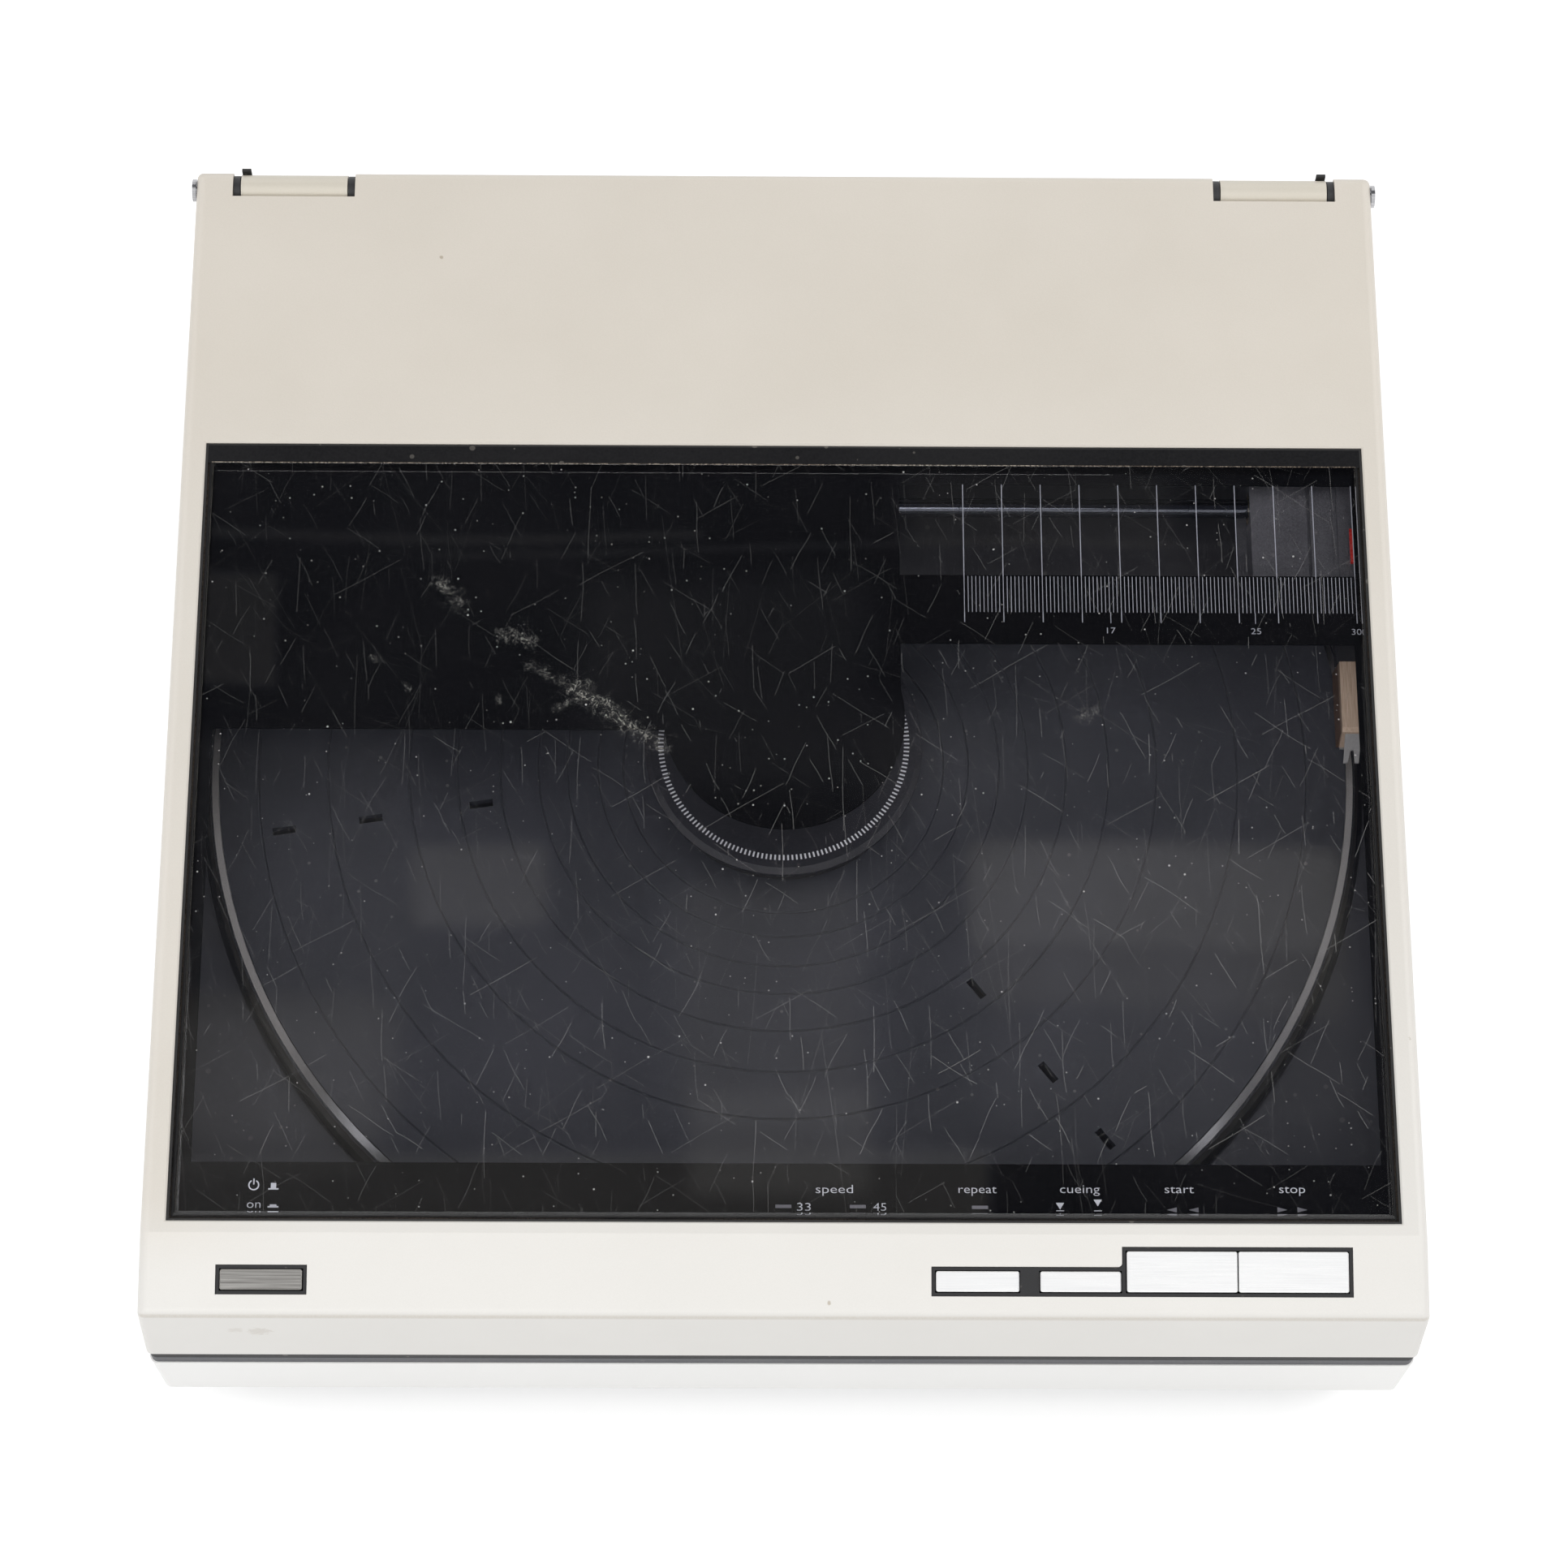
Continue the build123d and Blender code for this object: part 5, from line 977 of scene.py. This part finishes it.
def addScrews(head, places, height, share, name, body):
    copies = []
    for index, (x, y) in enumerate(places):
        screw = head.copy()
        screw.data = head.data.copy()
        bpy.context.collection.objects.link(screw)
        screw.location = inMetres(x, y, height)
        screw.rotation_euler = (0, 0, math.radians(screwValues["turn"] * index))
        screw.scale = (share, share, share)
        copies.append(screw)
    for screw in copies:
        selectOnly(screw)
        applyPlace()
    settlePiece(joinPieces(copies), name, body, "groundSteel")


screwHead = makeScrewHead(screwValues)
addScrews(screwHead, screwValues["casePlaces"], screwValues["caseHeight"], 1.0, "case_screws", "base")
addScrews(
    screwHead, screwValues["chassisPlaces"], screwValues["chassisHeight"], screwValues["chassisShare"],
    "chassis_screws", "lid",
)
removePiece(screwHead)
print("screws made")


# The clamp's coil spring takes the place of the plain sleeve
springValues = {
    "wireRadius": 0.42, "wireSides": 10, "turns": 5, "stepsPerTurn": 24, "play": 0.06, "travel": 1.8,
}


def addClampSpring(values):
    low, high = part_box("clamp_spring")
    wire, play, turns = values["wireRadius"] * mm, values["play"] * mm, values["turns"]
    height = high[2] - low[2] - 2 * play
    deselectAll()
    bpy.ops.mesh.primitive_circle_add(
        vertices=values["wireSides"], radius=wire, rotation=(math.radians(90), 0, 0),
        location=((high[0] - low[0]) / 2 - wire, 0, low[2] + play + wire),
    )
    coil = bpy.context.object
    applyPlace()
    pitch = (height - 2 * wire) / turns
    steps = values["stepsPerTurn"]
    applyModifier(
        coil, "SCREW", axis="Z", steps=steps, render_steps=steps, iterations=turns, screw_offset=pitch
    )
    openMesh()
    bpy.ops.mesh.fill_holes(sides=0)
    mendAndClose()
    bpy.ops.object.shade_smooth_by_angle(angle=math.radians(50))
    settlePiece(coil, "clamp_coil_spring", "lid", "groundSteel")
    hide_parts("clamp_spring")
    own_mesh(coil)


addClampSpring(springValues)
print("clamp spring wound")


# Coloured rings round the two signal sockets
ringValues = {
    "outer": 6.3,
    "inner": 5.05,
    "thickness": 0.5,
    "edge": 0.12,
    "wallY": 144.9,
    "height": 26.75,
    "rings": [
        ("signal_ring_right", 70.0, "pointerRed", "red"),
        ("signal_ring_left", 88.0, "ivoryPlastic", "grey_plastic"),
    ],
}


def addSocketRing(values, name, x, finish):
    ring = addFlatRing(40, values["outer"], values["inner"])
    mendAndClose()
    applyModifier(ring, "SOLIDIFY", thickness=values["thickness"] * mm, offset=0)
    applyModifier(ring, "BEVEL", width=values["edge"] * mm, segments=2)
    ring.rotation_euler = (math.radians(90), 0, 0)
    ring.location = inMetres(x, values["wallY"] + values["thickness"] / 2, values["height"])
    settlePiece(ring, name, "base", finish)


for name, x, finish, slot in ringValues["rings"]:
    addSocketRing(ringValues, name, x, finish)
print("socket rings made")


# Dust, smears and fine scratches on top of the window
dustValues = {
    "reachX": 147.4,
    "front": -131.6,
    "rear": 69.6,
    "height": 88.02,
    "colour": (0.62, 0.61, 0.60, 1),
    "smearColour": (0.72, 0.70, 0.63, 1),
    "smearFull": 0.2,
    "smears": [  # from, to, radius and strength
        ((-0.0884, 0.0362), (-0.0831, 0.0300), 0.0034, 0.26),
        ((-0.0716, 0.0212), (-0.0655, 0.0198), 0.0028, 0.42),
        ((-0.1049, 0.0148), (-0.1035, 0.0138), 0.0018, 0.30),
        ((-0.0956, 0.0072), (-0.0950, 0.0060), 0.0014, 0.22),
        ((-0.0725, 0.0038), (-0.0722, 0.0028), 0.0012, 0.22),
        ((-0.0643, 0.0128), (-0.0526, 0.0062), 0.0024, 0.24),
        ((-0.0530, 0.0068), (-0.0476, 0.0032), 0.0044, 0.46),
        ((-0.0476, 0.0030), (-0.0362, -0.0057), 0.0040, 0.40),
        ((-0.0362, -0.0057), (-0.0307, -0.0090), 0.0036, 0.36),
        ((-0.0583, 0.0005), (-0.0526, 0.0038), 0.0018, 0.30),
        ((0.0748, -0.0012), (0.0790, 0.0010), 0.0024, 0.20),
    ],
    "speckLayers": [(520.0, 0.12, 0.36), (260.0, 0.07, 0.55), (120.0, 0.034, 0.65)],  # as the mat's dust
    "haze": 0.004,
    "catchLightLean": 0.6,
    "catchLightFrom": (-0.06, 0.12),  # painted highlight: the scratches are drawn stronger towards the front right corner, where they catch the light
    "catchLightShare": (0.40, 1.0),
    "stripFrom": (-0.1175, -0.1165),  # and fainter over the front strip with its words
    "stripShare": (0.45, 1.0),
    "scratchLayers": [  # density, turn, length, width, bend and strength
        (14.0, 1.45, 0.62, 0.0007, 0.03, 0.15),
        (20.0, 1.66, 0.50, 0.0009, 0.04, 0.14),
        (26.0, 1.30, 0.50, 0.0011, 0.05, 0.12),
        (24.0, 1.85, 0.48, 0.0011, 0.05, 0.13),
        (18.0, 2.45, 0.50, 0.0009, 0.05, 0.12),
        (22.0, 1.05, 0.48, 0.0010, 0.06, 0.12),
        (30.0, 0.90, 0.50, 0.0014, 0.08, 0.12),
        (34.0, 0.30, 0.50, 0.0016, 0.08, 0.09),
        (42.0, 1.58, 0.55, 0.0034, 0.10, 0.22),
        (60.0, 1.50, 0.55, 0.0046, 0.14, 0.22),
        (75.0, 2.00, 0.55, 0.0056, 0.18, 0.22),
        (90.0, 1.10, 0.55, 0.0066, 0.18, 0.20),
        (38.0, 2.60, 0.55, 0.0030, 0.08, 0.22),
        (55.0, 0.60, 0.55, 0.0040, 0.12, 0.20),
    ],
}


def makeDustFinish(values):
    startMaterial("windowDust", Roughness=0.85)
    place = objectPlace()
    parts = splitPlace(place)
    flat = flatPlace(place)
    cover = 0.0
    for density, turn, length, width, bend, strength in values["scratchLayers"]:
        scratch = useGroup(
            scratchMarks, Place=flat, Density=density, Turn=(0, 0, turn), Length=length, Width=width, Bend=bend
        )
        cover = calc("MAXIMUM", cover, times(scratch["Scratch"], strength))
    # Painted highlight: the scratches grow stronger towards the front right, where they catch the light
    corner = minus(times(parts[0], values["catchLightLean"]), parts[1])
    cover = times(cover, ramp(corner, *values["catchLightFrom"], *values["catchLightShare"]))
    cover = times(cover, ramp(parts[1], *values["stripFrom"], *values["stripShare"]))
    for density, size, strength in values["speckLayers"]:
        specks = useGroup(dustSpecks, Place=flat, Density=density, Size=size)
        cover = calc("MAXIMUM", cover, times(specks["Speck"], strength))
    smear = 0.0
    for (x0, y0), (x1, y1), radius, strength in values["smears"]:
        trail = useGroup(wipedTrail, Place=flat, From=(x0, y0, 0), To=(x1, y1, 0), Radius=radius)
        smear = calc("MAXIMUM", smear, times(trail["Trail"], strength))
    cloud = useGroup(fineGrain, Place=flat, Scale=1900.0)["Cloud"]
    haze = ramp(cloud, 0.35, 0.8, 0.0, values["haze"])
    alpha = plus(calc("MAXIMUM", cover, smear), haze)
    tint = ramp(smear, 0.0, values["smearFull"])
    colour = blendColour(tint, values["colour"], values["smearColour"])
    return feedShader(colour=colour, alpha=alpha)


finishes["windowDust"] = makeDustFinish(dustValues)
reach = dustValues["reachX"]
dustSheet = addSheet(-reach, reach, dustValues["front"], dustValues["rear"], dustValues["height"])
settlePiece(dustSheet, "window_dust", "lid", "windowDust")
print("window dust made")


# A near-black sheet over the window's bevel, painted shade that hides its reflection, with brown dust towards
# its outer edge; a dark sheet on the step, also painted shade; and a dusty line along the step at its rear
rimShadeAndDustValues = {
    "halfWidth": 149.1,
    "front": -133.2,
    "stepY": 69.8,
    "ledgeRear": 74.9,
    "ledgeTop": 87.52,
    "lineWidth": 0.4,
    "bevel": 1.6,
    "top": 88.02,
    "blackFrom": (0.0002, 0.0006),  # metres from the bevel's inner edge
    "brownFrom": (0.0011, 0.0016),
    "cover": (0.90, 0.98),
    "lineCover": (0.10, 0.75),
    "black": (0.010, 0.010, 0.011, 1),
    "brown": (0.20, 0.15, 0.11, 1),
    "dustLine": (0.46, 0.41, 0.34, 1),
}


def makeBevelShadeAndDustFinish(values):
    startMaterial("windowBevelShadeAndDust", Roughness=0.6)
    place = objectPlace()
    parts = splitPlace(place)
    inner = (values["halfWidth"] - values["bevel"]) * mm
    sideways = minus(calc("ABSOLUTE", parts[0]), inner)
    forwards = minus((values["front"] + values["bevel"]) * mm, parts[1])
    outward = calc("MAXIMUM", sideways, forwards)
    grain = useGroup(fineGrain, Place=place, Scale=2400.0)
    patchy = times(ramp(grain["Grain"], 0.35, 0.6), ramp(grain["Cloud"], 0.3, 0.7))
    outer = ramp(outward, *values["brownFrom"])
    # Painted shade: the bevel is covered near-black; the brown towards its outer edge is dust
    colour = blendColour(times(outer, patchy), values["black"], values["brown"])
    cover = ramp(grain["Grain"], 0.3, 0.7, *values["cover"])
    cover = times(cover, ramp(outward, *values["blackFrom"]))
    return feedShader(colour=colour, alpha=cover)


def makeDustLineFinish(values):
    startMaterial("windowDustLine", Roughness=0.9)
    place = objectPlace()
    grain = useGroup(fineGrain, Place=place, Scale=1500.0)
    colour = blendColour(ramp(grain["Cloud"], 0.3, 0.7), values["brown"], values["dustLine"])
    return feedShader(colour=colour, alpha=ramp(grain["Grain"], 0.38, 0.62, *values["lineCover"]))


def addWindowRimShadeAndDust(values):
    bevel, halfWidth, stepY = values["bevel"], values["halfWidth"], values["stepY"]
    piece = addSheet(-halfWidth, halfWidth, values["front"], stepY + bevel, values["top"])
    openMesh()
    bpy.ops.mesh.inset(thickness=bevel * mm)
    bpy.ops.mesh.delete(type="FACE")
    bpy.ops.mesh.select_all(action="DESELECT")
    closeMesh()
    for face in piece.data.polygons:
        face.select = face.center.y > stepY * mm
    bpy.ops.object.mode_set(mode="EDIT")
    bpy.ops.mesh.delete(type="FACE")
    bpy.ops.mesh.select_mode(type="VERT")
    bpy.ops.mesh.select_all(action="DESELECT")
    closeMesh()
    for point in piece.data.vertices:
        atSide = abs(point.co.x) > (halfWidth - bevel / 2) * mm
        atFront = point.co.y < (values["front"] + bevel / 2) * mm
        point.select = atSide or atFront
    bpy.ops.object.mode_set(mode="EDIT")
    bpy.ops.transform.translate(value=(0, 0, -bevel * mm))
    closeMesh()
    settlePiece(piece, "window_bevel_shade_and_dust", "lid", "windowBevelShadeAndDust")
    ledge = values["ledgeTop"]
    # A near-black, barely glossy sheet on the rear step darkens it: painted shade
    shadeSheet = addSheet(-halfWidth, halfWidth, stepY + 0.1, values["ledgeRear"], ledge - 0.01)
    settlePiece(shadeSheet, "window_ledge_shade_sheet", "lid", "ledgeShadeSheet")
    line = addSheet(1 - halfWidth, halfWidth - 1, stepY, stepY + values["lineWidth"], ledge)
    settlePiece(line, "window_dust_line", "lid", "windowDustLine")


finishes["windowBevelShadeAndDust"] = makeBevelShadeAndDustFinish(rimShadeAndDustValues)
finishes["windowDustLine"] = makeDustLineFinish(rimShadeAndDustValues)
addWindowRimShadeAndDust(rimShadeAndDustValues)
print("window bevel shade and dust made")


# Stage: white floor that keeps the shadow, white surroundings, soft lamps and a dim ceiling
stageValues = {
    "floorSize": 6.0,
    "floorColour": (0.82, 0.82, 0.82, 1),
    "floorLift": 0.38,
    "surround": 0.58,
    "ceilingHeight": 1.8,
    "ceilingFrom": (-0.8, -1.2),
    "ceilingTo": (0.8, 1.4),
    "ceilingSplit": 0.2,  # the part in front of this is seen only through the window
    "ceilingDim": 0.03,
    "dimTone": (0.62, 0.70, 1.0, 1),
    "glowTone": (1.0, 0.98, 0.95, 1),
    "ceilingSpread": 2.59,  # how much larger a patch on the ceiling is than its reflection in the window
    "glows": [  # left, right, front, rear, softness and strength
        (-0.150, -0.128, 0.008, 0.040, 0.002, 0.10),
        (-0.150, -0.020, 0.050, 0.0525, 0.0015, 0.09),
        (-0.090, 0.140, 0.046, 0.0475, 0.0015, 0.08),
        (0.030, 0.100, 0.045, 0.068, 0.006, 0.10),
        (-0.050, 0.020, -0.020, 0.038, 0.008, 0.06),
        (0.020, 0.060, -0.030, 0.000, 0.008, 0.08),
        (-0.150, -0.092, -0.110, -0.006, 0.006, 0.07),
        (-0.150, -0.098, -0.118, -0.078, 0.008, 0.20),
        (-0.092, -0.060, -0.058, -0.036, 0.004, 0.26),
        (-0.030, 0.020, -0.110, -0.045, 0.008, 0.15),
        (-0.024, 0.019, -0.128, -0.103, 0.004, 0.20),
        (0.044, 0.138, -0.064, -0.037, 0.003, 0.18),
        (0.044, 0.140, -0.080, -0.037, 0.005, 0.12),
        (0.044, 0.145, -0.112, -0.038, 0.010, 0.08),
        (-0.150, 0.048, -0.140, -0.117, 0.003, 0.17),
    ],
    "lamps": [
        {"name": "frontLamp", "place": (-0.42, -0.95, 1.5), "size": 1.1, "power": 10.6},
        {"name": "leftLamp", "place": (-1.5, 0.1, 0.9), "size": 1.0, "power": 3.5},
        {"name": "rightLamp", "place": (1.3, 0.2, 1.3), "size": 1.0, "power": 8.5},
        {"name": "topLamp", "place": (0.3, 0.0, 1.9), "size": 1.0, "power": 3.0},
    ],
}


def seenDirectly():
    path = addNode("ShaderNodeLightPath")
    seen = calc("MAXIMUM", path.outputs["Is Camera Ray"], path.outputs["Is Glossy Ray"])
    return calc("MAXIMUM", seen, path.outputs["Is Transmission Ray"])


def makeFloor(values):
    deselectAll()
    bpy.ops.mesh.primitive_plane_add(size=values["floorSize"], location=(0, 0, 0))
    floor = bpy.context.object
    floor.name = "stage_floor"
    looks = {"Base Color": values["floorColour"], "Roughness": 0.9, "Specular IOR Level": 0.0}
    shader = startMaterial("stageFloor", **looks)
    glow = addNode("ShaderNodeEmission", {0: (1, 1, 1, 1), 1: times(seenDirectly(), values["floorLift"])})
    both = addNode("ShaderNodeAddShader", {0: shader.outputs[0], 1: glow.outputs[0]})
    fromBelow = addNode("ShaderNodeNewGeometry").outputs["Backfacing"]
    clear = addNode("ShaderNodeBsdfTransparent")
    mixAtOutput(fromBelow, both, clear)
    floor.data.materials.append(building["material"])


def makeSurround(values):
    world = bpy.data.worlds.new("whiteRoom")
    bpy.context.scene.world = world
    clearNodes(world)
    level = ramp(seenDirectly(), 0.0, 1.0, values["surround"], 1.0)
    back = addNode("ShaderNodeBackground", {0: (1, 1, 1, 1), 1: level})
    addNode("ShaderNodeOutputWorld", {0: back.outputs[0]})


def softSpan(value, low, high, soft):
    rising = ramp(value, low - soft, low + soft, 0.0, 1.0, True)
    falling = ramp(value, high - soft, high + soft, 1.0, 0.0, True)
    return times(rising, falling)


# Only reflections see the ceiling; to all else it is clear. Its patches are what the window mirrors
def makeCeiling(values):
    (x0, y0), (x1, y1) = values["ceilingFrom"], values["ceilingTo"]
    ceiling = addSheet(x0 / mm, x1 / mm, y0 / mm, y1 / mm, values["ceilingHeight"] / mm)
    ceiling.name = "stage_ceiling"
    shader = startMaterial("stageCeiling")
    place = objectPlace()
    parts = splitPlace(place)
    waves = addNode("ShaderNodeTexNoise", {"Vector": place, "Scale": 1.6, "Detail": 1.0})
    sway = times(minus(waves.outputs[0], 0.5), 0.02)
    eyeX, eyeY = cameraValues["place"][:2]
    spread = values["ceilingSpread"]
    across = calc("DIVIDE", minus(parts[0], eyeX), spread)
    across = plus(plus(across, eyeX), sway)
    along = calc("DIVIDE", minus(parts[1], eyeY), spread)
    along = plus(plus(along, eyeY), sway)
    level = plus(ramp(waves.outputs[0], 0.3, 0.8, 0.0, 0.05), values["ceilingDim"])
    for x0, x1, y0, y1, soft, strength in values["glows"]:
        inside = times(softSpan(across, x0, x1, soft), softSpan(along, y0, y1, soft))
        level = plus(level, times(inside, strength))
    bright = ramp(level, 0.02, 0.20)
    tone = blendColour(bright, values["dimTone"], values["glowTone"])
    glow = addNode("ShaderNodeEmission", {0: tone, 1: level})
    clear = addNode("ShaderNodeBsdfTransparent")
    path = addNode("ShaderNodeLightPath")
    rearPart = calc("GREATER_THAN", parts[1], values["ceilingSplit"])
    mirrored = times(path.outputs["Is Glossy Ray"], rearPart)
    seen = calc("MAXIMUM", mirrored, path.outputs["Is Transmission Ray"])
    mixAtOutput(seen, clear, glow)
    building["tree"].nodes.remove(shader)
    ceiling.data.materials.append(building["material"])


def makeLamp(values):
    bpy.ops.object.light_add(type="AREA", location=values["place"])
    lamp = bpy.context.object
    lamp.name = values["name"]
    lamp.data.size = values["size"]
    lamp.data.energy = values["power"]
    lamp.rotation_euler = (-Vector(values["place"])).to_track_quat("-Z", "Y").to_euler()
    lamp.visible_camera = False
    lamp.visible_glossy = False


makeFloor(stageValues)
makeSurround(stageValues)
makeCeiling(stageValues)
for lampSettings in stageValues["lamps"]:
    makeLamp(lampSettings)
deselectAll()
print("stage set")
